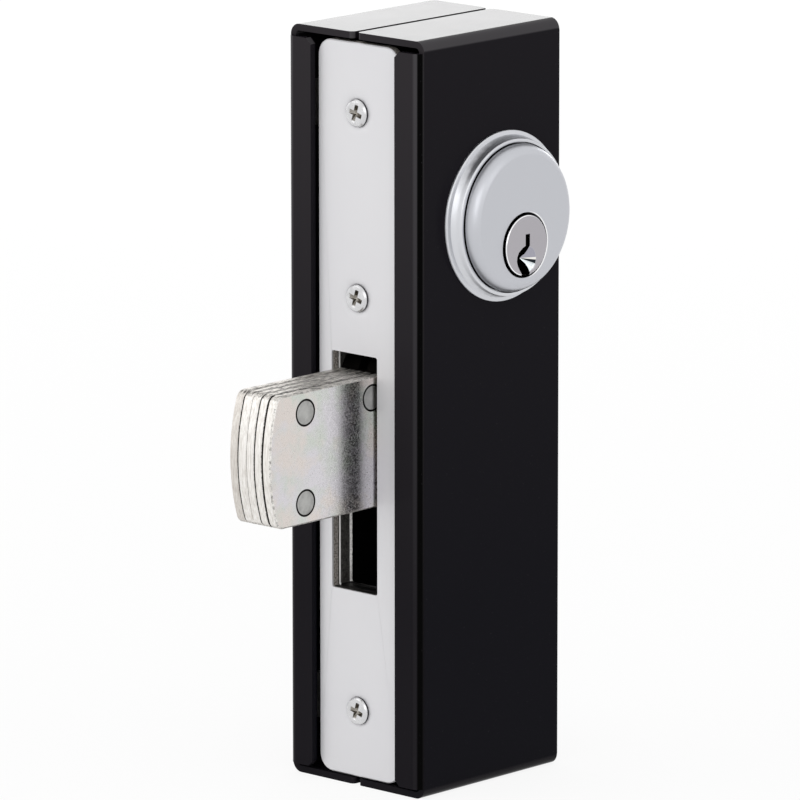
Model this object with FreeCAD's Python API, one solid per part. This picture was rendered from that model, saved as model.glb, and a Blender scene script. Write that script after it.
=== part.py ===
import FreeCAD, Part
import math
import os

# Mortise deadlock in a welded-on lock box, with a swinging laminated bolt.
# Millimetres. +Z is up, -Y is the side that the bolt comes out of, +X is the key's side.
# The origin is the centre of the box's back face.

os.makedirs("parts", exist_ok=True)
V = FreeCAD.Vector
X_AXIS = V(1, 0, 0)
Y_AXIS = V(0, 1, 0)
Z_AXIS = V(0, 0, 1)
ORIGIN = V(0, 0, 0)

# Driving dimensions: the sheet-metal box
BOX_W = 42.0
SHEET = 1.6
BEND_R = 2.6                # outside of the bends
FLANGE_TOP_GAP = 2.7        # front and back walls end this far below the top
FLANGE_FOOT_GAP = 2.5
END_TAB_SETBACK = 1.7       # top and bottom tabs end this far inside the front and back
FLANGE_CHAMFER = 1.4
SEAM_X = -0.8               # where the two top tabs, and the two bottom tabs, meet
SEAM_GAP = 1.4
SEAM_CORNER_R = 1.2
SIDE_HOLE_GAP = 0.5         # round the cylinder, in the box's side

# Driving dimensions: faceplate and armour plate
FACE_W = 25.4
FACE_T = 2.4
FACE_CORNER_R = 4.0
FACE_BEVEL = 0.3
FACE_BEHIND_FLANGE = 0.4
FACE_SIDE_GAP = 0.5
FACE_TOP_GAP = 0.9
FACE_FOOT_GAP = 0.3
FACE_ABOVE_SCREW = 16.5
FACE_BELOW_SCREW = 15.9
CENTRE_SCREW_ABOVE_PIVOT = 19.4
DIMPLE_R = 5.4
DIMPLE_DEPTH = 0.5
SLOT_CORNER_R = 0.6
ARMOUR_T = 3.0
ARMOUR_MARGIN = 1.8         # the armour plate is this much shorter than the faceplate at each end
ARMOUR_EDGE = 0.5           # bevel round its slot

# Driving dimensions: case
CASE_NARROWER = 0.4
WALL = 1.6
CASE_HEADROOM = 3.8
CASE_FOOT_ROOM = 19.0
CASE_BACK_GAP = 1.4
POST_R = 3.0
POST_SUNK = 0.6             # how far the posts run into the case's walls
MID_POST_BELOW_CYLINDER = 16.2
BOSS_GAP = 0.3              # between the bolt and the pivot bosses beside it
PIVOT_BOSS_R = 4.5
COVER_RING_WALL = 1.4
COVER_RING_GAP = 0.8

# Driving dimensions: swinging bolt of five plates
BOLT_X = -1.35
PLY_T = 2.6
PLY_COUNT = 5
PLY_BEVEL = 0.4
SLOT_SIDE_GAP = 0.7
BOLT_H = 31.3
BOLT_TOP_ABOVE_PIVOT = 1.75
BOLT_TIP = 43.9             # from the pivot to the tip
NOSE_R = 46.0
NOSE_CORNER_R = 2.5
HEEL = 3.7                  # the plates' straight back edge, in front of the pivot
MIDDLE_HEEL = 6.4
BOLT_BOSS_R = 6.0
MIDDLE_BOSS_R = 3.8
TAIL_R = 14.0
TAIL_FROM = -110.0
TAIL_TO = 2.0
SWEEP_GAP = 0.3
PIVOT_PIN_R = 2.4
PIVOT_BEHIND_ARMOUR = 3.1
RIVET_R = 2.88
RIVET_RING = 0.22           # width and depth of the groove round the rivets' ends
RIVET_RING_DEPTH = 0.6
NOSE_RIVET_FROM_TIP = 11.9
NOSE_RIVET_EDGE = 5.0
HEEL_RIVET_FROM_PIVOT = 9.4
CORE_L = 12.0
CORE_H = 9.0
CORE_GAP = 0.05

# Driving dimensions: lever between the cam and the bolt
LEVER_BEHIND_PIVOT = 18.3
LEVER_ABOVE_PIVOT = 0.5
LEVER_SIDE_GAP = 0.2
LEVER_LEAN = 22.5           # degrees, from upright to either end of its travel
LEVER_HUB_R = 6.0
LEVER_PIN_R = 2.3
SPACER_R = 3.2
SPACER_END_GAP = 0.1
ARM_L = 10.0
ARM_W = 7.0
ARM_BOSS_R = 3.9
DRIVE_PIN_R = 2.0
DRIVE_SLOT_GAP = 0.25
EAR_INNER = 16.5            # degrees from the lever's centre line
EAR_OUTER = 28.5
EAR_OVERLAP = 1.8           # how far the ears reach inside the cam's circle
NOTCH_GAP = 1.2
EAR_BACK_GAP = 0.785
HUB_FLAT_DEPTH = 0.3

# Driving dimensions: leaf spring that steadies the lever
LEAF_T = 0.5
LEAF_W = 2.0
LEAF_TIP_ANGLE = -28.0      # seen from the lever's pivot
LEAF_GAP = 0.3
LEAF_ROOT_BELOW = 17.0
LEAF_BEND_BELOW = 5.2
LEAF_RIVET_R = 0.7
LEAF_RIVET_HEAD_R = 1.2
LEAF_RIVET_HEAD_T = 0.5

# Driving dimensions: cylinder, plug and cam
CYLINDER_ABOVE_PIVOT = 38.0
CYLINDER_R = 14.7
CYLINDER_GAP = 0.1
CYLINDER_END_GAP = 0.3      # between the cylinder's back end and the cam
HEAD_R = 17.35
HEAD_FACE_R = 15.05
HEAD_BACK = 2.6             # heights above the box's side
HEAD_RING = 3.9
HEAD_FACE = 6.9
HEAD_DOME = 0.62            # how far the head's shoulder bulges out of a straight cone
PLUG_R = 7.1
PLUG_WALL = 1.45            # under the plug, in the cylinder's body
PLUG_GAP = 0.1
PLUG_PROUD = 0.6
PLUG_EDGE = 0.25
MOUTH_GAP = 0.55
MOUTH_DEPTH = 1.4
KEYWAY_W = 1.5
KEYWAY_TOP = 2.67
KEYWAY_SHIFT = 0.25         # of the straight upper part, from the plug's centre line
KEYWAY_LEFT = ((-1.5, -0.4), (-2.8, -1.3), (-3.35, -2.3), (-3.5, -3.4), (-3.15, -4.5),
               (-2.5, -5.55), (-1.75, -6.55), (-1.6, -8.0))
KEYWAY_RIGHT = ((1.0, -8.0), (1.0, -6.6), (1.1, -5.4), (0.9, -4.5), (0.4, -3.8), (0.15, -3.3),
                (0.4, -2.8), (0.9, -2.2), (1.05, -1.2))
KEYWAY_BEND = 0.0           # where the straight part ends, above the plug's centre
KEYWAY_END = 3.0            # left solid at the plug's back end
COUNTERSINK_R = 3.3         # its edge passes through the plug's centre
COUNTERSINK_SHIFT = 0.2
COUNTERSINK_DEPTH = 2.45
CAM_HUB_R = 6.4
CAM_LOBE_R = 12.8
CAM_LOBE_W = 5.6
CAM_SCREW_R = 0.8
CAM_SCREW_OUT = 3.4
CAM_SCREW_HEAD_R = 1.5
CAM_SCREW_HEAD_T = 0.8
CAM_SCREW_L = 4.4

# Driving dimensions: pins in the cylinder
PIN_R = 1.4
PIN_GAP = 0.05
PIN_PITCH = 4.0
PIN_FIRST = 3.6             # from the head's back face
DRIVER_L = 5.0
DRIVER_LIFT = 0.2
KEY_PIN_SHORTFALL = 0.2
KEY_PIN_LENGTHS = (3.2, 4.6, 2.8, 5.0, 3.8)
KEY_PIN_TIP = 0.8
CAP_T = 1.6
CAP_W = 4.0
SPRING_WIRE_R = 0.2
SPRING_TURNS = 5
SPRING_SIDE_GAP = 0.15

# Driving dimensions: collar round the cylinder's head
COLLAR_R = 20.1
COLLAR_RIM_H = 0.7
COLLAR_BAND_R = 19.1
COLLAR_BAND_H = 0.9
COLLAR_COVE_R = 18.55
COLLAR_H = 3.7
COLLAR_LEDGE_H = 1.0
COLLAR_HEAD_GAP = 0.35
COLLAR_RIM_ROUND = 0.35
COLLAR_TOP_ROUND = 0.45
WASHER_T = 0.5
WASHER_IN = 0.4

# Driving dimensions: weld tabs and screws
TAB_H = 11.0
TAB_T = 3.2
TAB_CASE_GAP_TOP = 1.0
TAB_CASE_GAP_FOOT = 4.2
SCREW_X = -0.5              # the three screws' line, a little left of the plate's centre
SCREW_R = 2.1
SCREW_HEAD_R = 3.3
SCREW_PROUD = 0.6
SCREW_SIDE = 1.0
SCREW_CONE = 1.3
SCREW_BEVEL = 0.4
SCREW_PAST_TAB = 2.0
CENTRE_SCREW_R = 1.7
CROSS_R = 2.15
CROSS_W = 1.1
CROSS_DEPTH = 1.5
CROSS_TURN = 17.0
THREAD_GAP = 0.02
CLEAR_HOLE_GAP = 0.3
SET_SCREW_R = 1.7
SET_SCREW_X = 7.0
SET_SCREW_BITE = 0.5
SET_GROOVE_DEPTH = 0.8
SET_BOSS_R = 3.4
SET_BOSS_L = 3.6
SMALL_SCREW_R = 1.5
SMALL_HEAD_R = 2.8
SMALL_HEAD_T = 1.6
COVER_SCREW_L = 9.0
ARMOUR_SCREW_L = 7.0
ARMOUR_SCREW_INSET = 6.5    # from the armour plate's left edge
ARMOUR_SCREW_FROM_END = 5.5
FIT_GAP = 0.02              # between a fixed pin and its hole
RUN_GAP = 0.08              # between a pin and what turns on it


# Places worked out from the driving dimensions, measured from the bolt's pivot at first

def nose_centre():
    """Centre of the arc of the bolt's tip, from the pivot, in Y and Z."""
    return (NOSE_R - BOLT_TIP, BOLT_TOP_ABOVE_PIVOT - BOLT_H / 2)


def sweep_radius():
    """Radius, about the pivot, of the circle that the nose's lower corner swings on."""
    centre_y, centre_z = nose_centre()
    corner_z = BOLT_TOP_ABOVE_PIVOT - BOLT_H + NOSE_CORNER_R
    corner_y = centre_y - math.sqrt((NOSE_R - NOSE_CORNER_R) ** 2 - (corner_z - centre_z) ** 2)
    return math.hypot(corner_y, corner_z) + NOSE_CORNER_R


PLUG_DROP = CYLINDER_R - PLUG_WALL - PLUG_R
CENTRES = CYLINDER_ABOVE_PIVOT - PLUG_DROP - LEVER_ABOVE_PIVOT
EAR_R = CENTRES - CAM_LOBE_R + EAR_OVERLAP
NOTCH_R = CENTRES - CAM_LOBE_R - NOTCH_GAP
EAR_REACH = EAR_R * math.cos(math.radians(90.0 - LEVER_LEAN - EAR_OUTER))

SLOT_FOOT_REL = -(sweep_radius() + SWEEP_GAP)
CASE_TOP_REL = CYLINDER_ABOVE_PIVOT + CYLINDER_R + CASE_HEADROOM
CASE_FOOT_REL = SLOT_FOOT_REL - CASE_FOOT_ROOM
UPPER_SCREW_REL = CASE_TOP_REL + TAB_CASE_GAP_TOP + TAB_H / 2
LOWER_SCREW_REL = CASE_FOOT_REL - TAB_CASE_GAP_FOOT - TAB_H / 2
BOX_TOP_REL = UPPER_SCREW_REL + FACE_ABOVE_SCREW + FACE_TOP_GAP + SHEET
BOX_FOOT_REL = LOWER_SCREW_REL - FACE_BELOW_SCREW - FACE_FOOT_GAP - SHEET
BOX_H = BOX_TOP_REL - BOX_FOOT_REL

# Heights
PIVOT_Z = BOX_H / 2 - BOX_TOP_REL
TOP = BOX_H / 2
FOOT = -BOX_H / 2
FACE_TOP = TOP - SHEET - FACE_TOP_GAP
FACE_FOOT = FOOT + SHEET + FACE_FOOT_GAP
UPPER_SCREW_Z = PIVOT_Z + UPPER_SCREW_REL
LOWER_SCREW_Z = PIVOT_Z + LOWER_SCREW_REL
CENTRE_SCREW_Z = PIVOT_Z + CENTRE_SCREW_ABOVE_PIVOT
SLOT_TOP = PIVOT_Z + BOLT_BOSS_R + CLEAR_HOLE_GAP / 3
SLOT_FOOT = PIVOT_Z + SLOT_FOOT_REL
CASE_TOP = PIVOT_Z + CASE_TOP_REL
CASE_FOOT = PIVOT_Z + CASE_FOOT_REL
LEVER_Z = PIVOT_Z + LEVER_ABOVE_PIVOT
CYLINDER_Z = PIVOT_Z + CYLINDER_ABOVE_PIVOT
PLUG_Z = CYLINDER_Z - PLUG_DROP

# Depths, from the front
BOX_D = (SHEET + FACE_BEHIND_FLANGE + FACE_T + ARMOUR_T + PIVOT_BEHIND_ARMOUR
         + LEVER_BEHIND_PIVOT + EAR_REACH + EAR_BACK_GAP + WALL + CASE_BACK_GAP + SHEET)
FRONT = -BOX_D
FACE_FRONT = FRONT + SHEET + FACE_BEHIND_FLANGE
FACE_BACK = FACE_FRONT + FACE_T
ARMOUR_BACK = FACE_BACK + ARMOUR_T
CASE_FRONT = ARMOUR_BACK
CASE_BACK = -SHEET - CASE_BACK_GAP
PIVOT_Y = ARMOUR_BACK + PIVOT_BEHIND_ARMOUR
LEVER_Y = PIVOT_Y + LEVER_BEHIND_PIVOT
CYLINDER_Y = LEVER_Y
TAB_BACK = ARMOUR_BACK + TAB_T

# Widths
SIDE = BOX_W / 2
OPENING_HALF = FACE_W / 2 + FACE_SIDE_GAP
CASE_HALF = (FACE_W - CASE_NARROWER) / 2
CASE_INNER = CASE_HALF - WALL
ARMOUR_SCREW_X = -CASE_HALF + ARMOUR_SCREW_INSET
BOLT_HALF = PLY_COUNT * PLY_T / 2
BOLT_LEFT = BOLT_X - BOLT_HALF
BOLT_RIGHT = BOLT_X + BOLT_HALF
SLOT_LEFT = BOLT_LEFT - SLOT_SIDE_GAP
SLOT_RIGHT = BOLT_RIGHT + SLOT_SIDE_GAP
LEVER_LEFT = BOLT_X - PLY_T / 2 + LEVER_SIDE_GAP
LEVER_RIGHT = BOLT_X + PLY_T / 2 - LEVER_SIDE_GAP
CYLINDER_END = LEVER_RIGHT + CYLINDER_END_GAP
HEAD_UNDER = SIDE + HEAD_BACK
HEAD_OUT = SIDE + HEAD_FACE
PLUG_OUT = HEAD_OUT + PLUG_PROUD
CAP_UNDER = CYLINDER_Z + math.sqrt(CYLINDER_R ** 2 - CAP_W ** 2 / 4) - CAP_T


def save(name, *solids):
    """Write one named node, of one solid or of several that stay separate."""
    shape = solids[0] if len(solids) == 1 else Part.makeCompound(list(solids))
    shape.exportStep("parts/" + name + ".step")
    print(name, len(shape.Solids), "solid", "valid" if shape.isValid() else "NOT VALID")


def block(x0, x1, y0, y1, z0, z1):
    return Part.makeBox(x1 - x0, y1 - y0, z1 - z0, V(x0, y0, z0))


def rod_x(r, x0, x1, y, z):
    return Part.makeCylinder(r, x1 - x0, V(x0, y, z), X_AXIS)


def rod_y(r, y0, y1, x, z):
    return Part.makeCylinder(r, y1 - y0, V(x, y0, z), Y_AXIS)


def rod_z(r, z0, z1, x, y):
    return Part.makeCylinder(r, z1 - z0, V(x, y, z0), Z_AXIS)


def line(a, b):
    return Part.LineSegment(a, b).toShape()


def arc(a, middle, b):
    return Part.Arc(a, middle, b).toShape()


def fused(solids):
    shape = solids[0]
    for other in solids[1:]:
        shape = shape.fuse(other)
    return shape.removeSplitter()


def without(shape, *tools):
    for tool in tools:
        shape = shape.cut(tool)
    return shape


def prism_x(points, x0, x1):
    """Straight-sided outline of (y, z) points, extruded along X."""
    corners = [V(x0, y, z) for y, z in points]
    return Part.Face(Part.makePolygon(corners + corners[:1])).extrude(V(x1 - x0, 0, 0))


def turned_x(profile, y, z):
    """Closed outline of (x, r) points turned about the line through y and z along X."""
    corners = [V(x, y, z + r) for x, r in profile]
    face = Part.Face(Part.makePolygon(corners + corners[:1]))
    return face.revolve(V(0, y, z), X_AXIS, 360)


def rounded_block(x0, x1, y0, y1, z0, z1, r, axis):
    """Block whose four edges along the axis are rounded."""
    shape = block(x0, x1, y0, y1, z0, z1)
    edges = [e for e in shape.Edges if e.tangentAt(e.FirstParameter).cross(axis).Length < 1e-6]
    return shape.makeFillet(r, edges)


def edges_along(shape, axis, keep):
    """Straight edges along the axis whose midpoint passes the test."""
    found = []
    for edge in shape.Edges:
        straight = isinstance(edge.Curve, (Part.Line, Part.LineSegment))
        if straight and edge.tangentAt(edge.FirstParameter).cross(axis).Length < 1e-6:
            if keep(edge.CenterOfMass):
                found.append(edge)
    return found


def rounded_edges(shape, r, tests):
    """Round circular edges, each found by its centre's X and its radius."""
    edges = []
    for x, radius in tests:
        for edge in shape.Edges:
            circle = edge.Curve
            if isinstance(circle, Part.Circle) and abs(circle.Radius - radius) < 1e-4:
                if abs(circle.Center.x - x) < 1e-4:
                    edges.append(edge)
    return shape.makeFillet(r, edges)


def lever_angle(bolt_angle):
    """Degrees that the lever has turned when the bolt has swung by bolt_angle."""
    return -bolt_angle * LEVER_LEAN / 45.0


def about_x(y, z, degrees):
    t = math.radians(degrees)
    return (y * math.cos(t) - z * math.sin(t), y * math.sin(t) + z * math.cos(t))


def drive_pin_place(bolt_angle):
    """Centre of the lever's drive pin, seen in the bolt's own frame, from its pivot."""
    direction = math.radians(180.0 + LEVER_LEAN + lever_angle(bolt_angle))
    y = LEVER_BEHIND_PIVOT + ARM_L * math.cos(direction)
    z = LEVER_ABOVE_PIVOT + ARM_L * math.sin(direction)
    return about_x(y, z, -bolt_angle)


# Box

def box_shell():
    sleeve = rounded_block(-SIDE, SIDE, FRONT, 0, FOOT + FLANGE_FOOT_GAP, TOP - FLANGE_TOP_GAP,
                           BEND_R, Z_AXIS)
    hollow = rounded_block(-SIDE + SHEET, SIDE - SHEET, FRONT + SHEET, -SHEET, FOOT, TOP,
                           BEND_R - SHEET, Z_AXIS)
    front = block(-OPENING_HALF, OPENING_HALF, FRONT - 1, FRONT + 2 * SHEET, FOOT, TOP)
    sleeve = without(sleeve, hollow, front)
    sleeve = chamfered_flanges(sleeve)
    ring = rounded_block(-SIDE, SIDE, FRONT + END_TAB_SETBACK, -END_TAB_SETBACK, FOOT, TOP,
                         BEND_R, Y_AXIS)
    inside = rounded_block(-SIDE + SHEET, SIDE - SHEET, FRONT, 0, FOOT + SHEET, TOP - SHEET,
                           BEND_R - SHEET, Y_AXIS)
    seam = block(SEAM_X - SEAM_GAP / 2, SEAM_X + SEAM_GAP / 2, FRONT, 0, FOOT - 1, TOP + 1)
    ring = without(ring, inside, seam)
    corners = edges_along(ring, Z_AXIS, lambda p: abs(p.x - SEAM_X) < SEAM_GAP)
    ring = ring.makeFillet(SEAM_CORNER_R, corners)
    shell = fused([sleeve, ring])
    side_hole = rod_x(CYLINDER_R + SIDE_HOLE_GAP, SIDE - 2 * SHEET, SIDE + 1, CYLINDER_Y, CYLINDER_Z)
    return without(shell, side_hole)


def chamfered_flanges(sleeve):
    """Clip the free corners of the two front flanges."""
    corners = edges_along(sleeve, Y_AXIS, lambda p: abs(abs(p.x) - OPENING_HALF) < 0.01)
    return sleeve.makeChamfer(FLANGE_CHAMFER, corners)


def weld_tab(z):
    tab = block(-SIDE + SHEET, SIDE - SHEET, ARMOUR_BACK, TAB_BACK, z - TAB_H / 2, z + TAB_H / 2)
    return without(tab, rod_y(SCREW_R + THREAD_GAP, ARMOUR_BACK - 1, TAB_BACK + 1, SCREW_X, z))


# Faceplate, armour plate and their screws

def slot_block(y0, y1, grow=0.0):
    return rounded_block(SLOT_LEFT - grow, SLOT_RIGHT + grow, y0, y1, SLOT_FOOT - grow,
                         SLOT_TOP + grow, SLOT_CORNER_R + grow, Y_AXIS)


def countersink(y, x, z, head_r, hole_r, depth):
    """Cone that opens towards the front, with its wide end at y."""
    return Part.makeCone(head_r, hole_r, depth, V(x, y, z), Y_AXIS)


def dimple(z):
    ball_r = (DIMPLE_R ** 2 + DIMPLE_DEPTH ** 2) / (2 * DIMPLE_DEPTH)
    return Part.makeSphere(ball_r, V(SCREW_X, FACE_FRONT + DIMPLE_DEPTH - ball_r, z))


def head_seat_y():
    """Where the straight side of a faceplate screw's head ends and its cone starts."""
    return FACE_FRONT - SCREW_PROUD + SCREW_SIDE


def faceplate():
    plate = rounded_block(-FACE_W / 2, FACE_W / 2, FACE_FRONT, FACE_BACK, FACE_FOOT, FACE_TOP,
                          FACE_CORNER_R, Y_AXIS)
    rim = [e for e in plate.Edges if abs(e.CenterOfMass.y - FACE_FRONT) < 1e-6]
    plate = plate.makeChamfer(FACE_BEVEL, rim)
    plate = plate.cut(slot_block(FACE_FRONT - 1, FACE_BACK + 1))
    screws = ((UPPER_SCREW_Z, SCREW_R), (CENTRE_SCREW_Z, CENTRE_SCREW_R), (LOWER_SCREW_Z, SCREW_R))
    for z, hole_r in screws:
        plate = plate.cut(dimple(z))
        seat = head_seat_y()
        cone = countersink(seat, SCREW_X, z, SCREW_HEAD_R + FIT_GAP, hole_r + CLEAR_HOLE_GAP,
                           SCREW_CONE)
        mouth = rod_y(SCREW_HEAD_R + FIT_GAP, seat - SCREW_SIDE, seat, SCREW_X, z)
        hole = rod_y(hole_r + CLEAR_HOLE_GAP, seat, FACE_BACK + 1, SCREW_X, z)
        plate = without(plate, cone, mouth, hole)
    return plate


def armour_screw_heights():
    return (CASE_TOP - ARMOUR_SCREW_FROM_END, CASE_FOOT + ARMOUR_SCREW_FROM_END)


def armour_plate():
    plate = block(-CASE_HALF, CASE_HALF, FACE_BACK, ARMOUR_BACK, FACE_FOOT + ARMOUR_MARGIN,
                  FACE_TOP - ARMOUR_MARGIN)
    slot = slot_block(FACE_BACK - 1, ARMOUR_BACK + 1)
    plate = plate.cut(slot)
    rim = [e for e in plate.Edges if abs(e.CenterOfMass.y - FACE_BACK) < 1e-6
           and abs(e.CenterOfMass.x) < CASE_HALF - 1
           and SLOT_FOOT - 1 < e.CenterOfMass.z < SLOT_TOP + 1]
    plate = plate.makeChamfer(ARMOUR_EDGE, rim)
    holes = []
    for z in (UPPER_SCREW_Z, LOWER_SCREW_Z):
        holes.append(rod_y(SCREW_R + CLEAR_HOLE_GAP, FACE_BACK - 1, ARMOUR_BACK + 1, SCREW_X, z))
    holes.append(rod_y(CENTRE_SCREW_R + THREAD_GAP, FACE_BACK - 1, ARMOUR_BACK + 1, SCREW_X,
                       CENTRE_SCREW_Z))
    holes.append(rod_y(SET_SCREW_R + CLEAR_HOLE_GAP, FACE_BACK - 1, ARMOUR_BACK + 1, SET_SCREW_X,
                       CYLINDER_Z))
    for z in armour_screw_heights():
        holes.append(rod_y(SMALL_SCREW_R + CLEAR_HOLE_GAP, FACE_BACK - 1, ARMOUR_BACK + 1,
                           ARMOUR_SCREW_X, z))
        holes.append(countersink(FACE_BACK, ARMOUR_SCREW_X, z, SMALL_HEAD_R + FIT_GAP,
                                 SMALL_SCREW_R + FIT_GAP, SMALL_HEAD_T))
    return without(plate, *holes)


def cross_recess(y, x, z):
    """Tapered cross-shaped hole of a screw's head, from its face at y inwards."""
    long_arm = block(-CROSS_R, CROSS_R, 0, CROSS_DEPTH, -CROSS_W / 2, CROSS_W / 2)
    tall_arm = block(-CROSS_W / 2, CROSS_W / 2, 0, CROSS_DEPTH, -CROSS_R, CROSS_R)
    cone = Part.makeCone(CROSS_R, CROSS_W / 2, CROSS_DEPTH, ORIGIN, Y_AXIS)
    cross = long_arm.fuse(tall_arm).common(cone)
    cross.rotate(ORIGIN, Y_AXIS, CROSS_TURN)
    cross.translate(V(x, y, z))
    return cross


def faceplate_screw(z, shank_r, shank_end):
    """Screw with a raised flat head, a cone under it and a plain shank."""
    face = FACE_FRONT - SCREW_PROUD
    seat = head_seat_y()
    side = rod_y(SCREW_HEAD_R, face, seat, SCREW_X, z)
    rim = [e for e in side.Edges if abs(e.CenterOfMass.y - face) < 1e-6 and e.Length > 1]
    side = side.makeChamfer(SCREW_BEVEL, rim)
    cone = countersink(seat, SCREW_X, z, SCREW_HEAD_R, shank_r, SCREW_CONE)
    shank = rod_y(shank_r, seat, shank_end, SCREW_X, z)
    return without(fused([side, cone, shank]), cross_recess(face, SCREW_X, z))


def armour_screw(z):
    head = countersink(FACE_BACK, ARMOUR_SCREW_X, z, SMALL_HEAD_R, SMALL_SCREW_R, SMALL_HEAD_T)
    shank = rod_y(SMALL_SCREW_R, FACE_BACK + SMALL_HEAD_T / 2, ARMOUR_BACK + ARMOUR_SCREW_L,
                  ARMOUR_SCREW_X, z)
    slot = block(ARMOUR_SCREW_X - SMALL_HEAD_R, ARMOUR_SCREW_X + SMALL_HEAD_R, FACE_BACK,
                 FACE_BACK + SMALL_HEAD_T / 2, z - CROSS_W / 3, z + CROSS_W / 3)
    return without(fused([head, shank]), slot)


# Case

def post_places():
    """Centres of the posts that carry the cover's screws, as (y, z)."""
    inset = WALL + POST_R - POST_SUNK
    front = CASE_FRONT + inset
    back = CASE_BACK - inset
    top = CASE_TOP - inset
    foot = CASE_FOOT + inset
    middle = CYLINDER_Z - MID_POST_BELOW_CYLINDER
    return ((front, top), (back, top), (front, foot), (back, foot), (back, middle))


def pivot_boss(x0, x1):
    """Boss round the bolt's pivot pin, cut flush with the case's front."""
    boss = rod_x(PIVOT_BOSS_R, x0, x1, PIVOT_Y, PIVOT_Z)
    return boss.common(block(x0, x1, CASE_FRONT, PIVOT_Y + PIVOT_BOSS_R, CASE_FOOT, CASE_TOP))


def case_body():
    outer = rounded_block(-CASE_HALF, CASE_INNER, CASE_FRONT, CASE_BACK, CASE_FOOT, CASE_TOP,
                          WALL / 2, X_AXIS)
    inner = block(-CASE_INNER, CASE_HALF, CASE_FRONT + WALL, CASE_BACK - WALL, CASE_FOOT + WALL,
                  CASE_TOP - WALL)
    body = outer.cut(inner)
    extras = [rod_x(POST_R, -CASE_HALF, CASE_INNER, y, z) for y, z in post_places()]
    extras.append(pivot_boss(-CASE_HALF, BOLT_LEFT - BOSS_GAP))
    extras.append(rod_y(SET_BOSS_R, CASE_FRONT, CASE_FRONT + WALL + SET_BOSS_L, SET_SCREW_X,
                        CYLINDER_Z))
    for z in armour_screw_heights():
        extras.append(rod_y(POST_R, CASE_FRONT, ARMOUR_BACK + ARMOUR_SCREW_L, ARMOUR_SCREW_X, z))
    body = fused([body] + extras)
    window = slot_block(CASE_FRONT - 1, CASE_FRONT + WALL)
    holes = [window, rod_x(PIVOT_PIN_R + FIT_GAP, -CASE_HALF - 1, CASE_HALF, PIVOT_Y, PIVOT_Z)]
    holes.append(rod_x(PIVOT_BOSS_R + BOSS_GAP, BOLT_X, CASE_INNER, PIVOT_Y, PIVOT_Z))
    holes.append(rod_x(LEVER_PIN_R + FIT_GAP, -CASE_HALF - 1, 0, LEVER_Y, LEVER_Z))
    for y, z in post_places():
        start = CASE_HALF - COVER_SCREW_L
        holes.append(rod_x(SMALL_SCREW_R + THREAD_GAP, start, CASE_HALF, y, z))
    for z in armour_screw_heights():
        holes.append(rod_y(SMALL_SCREW_R + THREAD_GAP, CASE_FRONT - 1,
                           ARMOUR_BACK + ARMOUR_SCREW_L, ARMOUR_SCREW_X, z))
    holes.append(rod_y(SET_SCREW_R + THREAD_GAP, CASE_FRONT - 1, CYLINDER_Y - CYLINDER_R + 1,
                       SET_SCREW_X, CYLINDER_Z))
    for z in leaf_rivet_heights():
        holes.append(rod_y(LEAF_RIVET_R + FIT_GAP, CASE_BACK - 2 * WALL, CASE_BACK + 1, BOLT_X, z))
    return without(body, *holes)


def case_cover():
    plate = rounded_block(CASE_INNER, CASE_HALF, CASE_FRONT, CASE_BACK, CASE_FOOT, CASE_TOP,
                          WALL / 2, X_AXIS)
    ring_r = CYLINDER_R + CYLINDER_GAP + COVER_RING_WALL
    ring = rod_x(ring_r, CASE_INNER, SIDE - SHEET - COVER_RING_GAP, CYLINDER_Y, CYLINDER_Z)
    boss = pivot_boss(BOLT_RIGHT + BOSS_GAP, CASE_HALF)
    cover = fused([plate, ring, boss])
    holes = [rod_x(CYLINDER_R + CYLINDER_GAP, 0, SIDE, CYLINDER_Y, CYLINDER_Z)]
    holes.append(rod_x(PIVOT_PIN_R + FIT_GAP, 0, SIDE, PIVOT_Y, PIVOT_Z))
    holes.append(rod_x(LEVER_PIN_R + FIT_GAP, 0, SIDE, LEVER_Y, LEVER_Z))
    for y, z in post_places():
        holes.append(rod_x(SMALL_SCREW_R + CLEAR_HOLE_GAP, 0, SIDE, y, z))
    return without(cover, *holes)


def cover_screw(y, z):
    head = rod_x(SMALL_HEAD_R, CASE_HALF, CASE_HALF + SMALL_HEAD_T, y, z)
    rim = [e for e in head.Edges
           if abs(e.CenterOfMass.x - CASE_HALF - SMALL_HEAD_T) < 1e-6 and e.Length > 1]
    head = head.makeFillet(SMALL_HEAD_T / 2, rim)
    shank = rod_x(SMALL_SCREW_R, CASE_HALF - COVER_SCREW_L, CASE_HALF, y, z)
    slot = block(CASE_HALF + SMALL_HEAD_T / 2, CASE_HALF + SMALL_HEAD_T + 1, y - CROSS_W / 3,
                 y + CROSS_W / 3, z - SMALL_HEAD_R, z + SMALL_HEAD_R)
    return without(fused([head, shank]), slot)


# Bolt

def bolt_point(x, y, z):
    """Point given from the bolt's pivot, as it stands at rest."""
    return V(x, PIVOT_Y + y, PIVOT_Z + z)


def blade(x0, x1, heel):
    """The bolt's plain outline: straight top, foot and heel, and the wide arc of the nose."""
    centre_y, centre_z = nose_centre()
    top = BOLT_TOP_ABOVE_PIVOT
    foot = top - BOLT_H
    shoulder = centre_y - math.sqrt(NOSE_R ** 2 - (BOLT_H / 2) ** 2)
    edges = [line(bolt_point(x0, -heel, top), bolt_point(x0, shoulder, top)),
             arc(bolt_point(x0, shoulder, top), bolt_point(x0, -BOLT_TIP, centre_z),
                 bolt_point(x0, shoulder, foot)),
             line(bolt_point(x0, shoulder, foot), bolt_point(x0, -heel, foot)),
             line(bolt_point(x0, -heel, foot), bolt_point(x0, -heel, top))]
    shape = Part.Face(Part.Wire(edges)).extrude(V(x1 - x0, 0, 0))
    nose = edges_along(shape, X_AXIS, lambda p: p.y < PIVOT_Y + shoulder + 1)
    return shape.makeFillet(NOSE_CORNER_R, nose)


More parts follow.
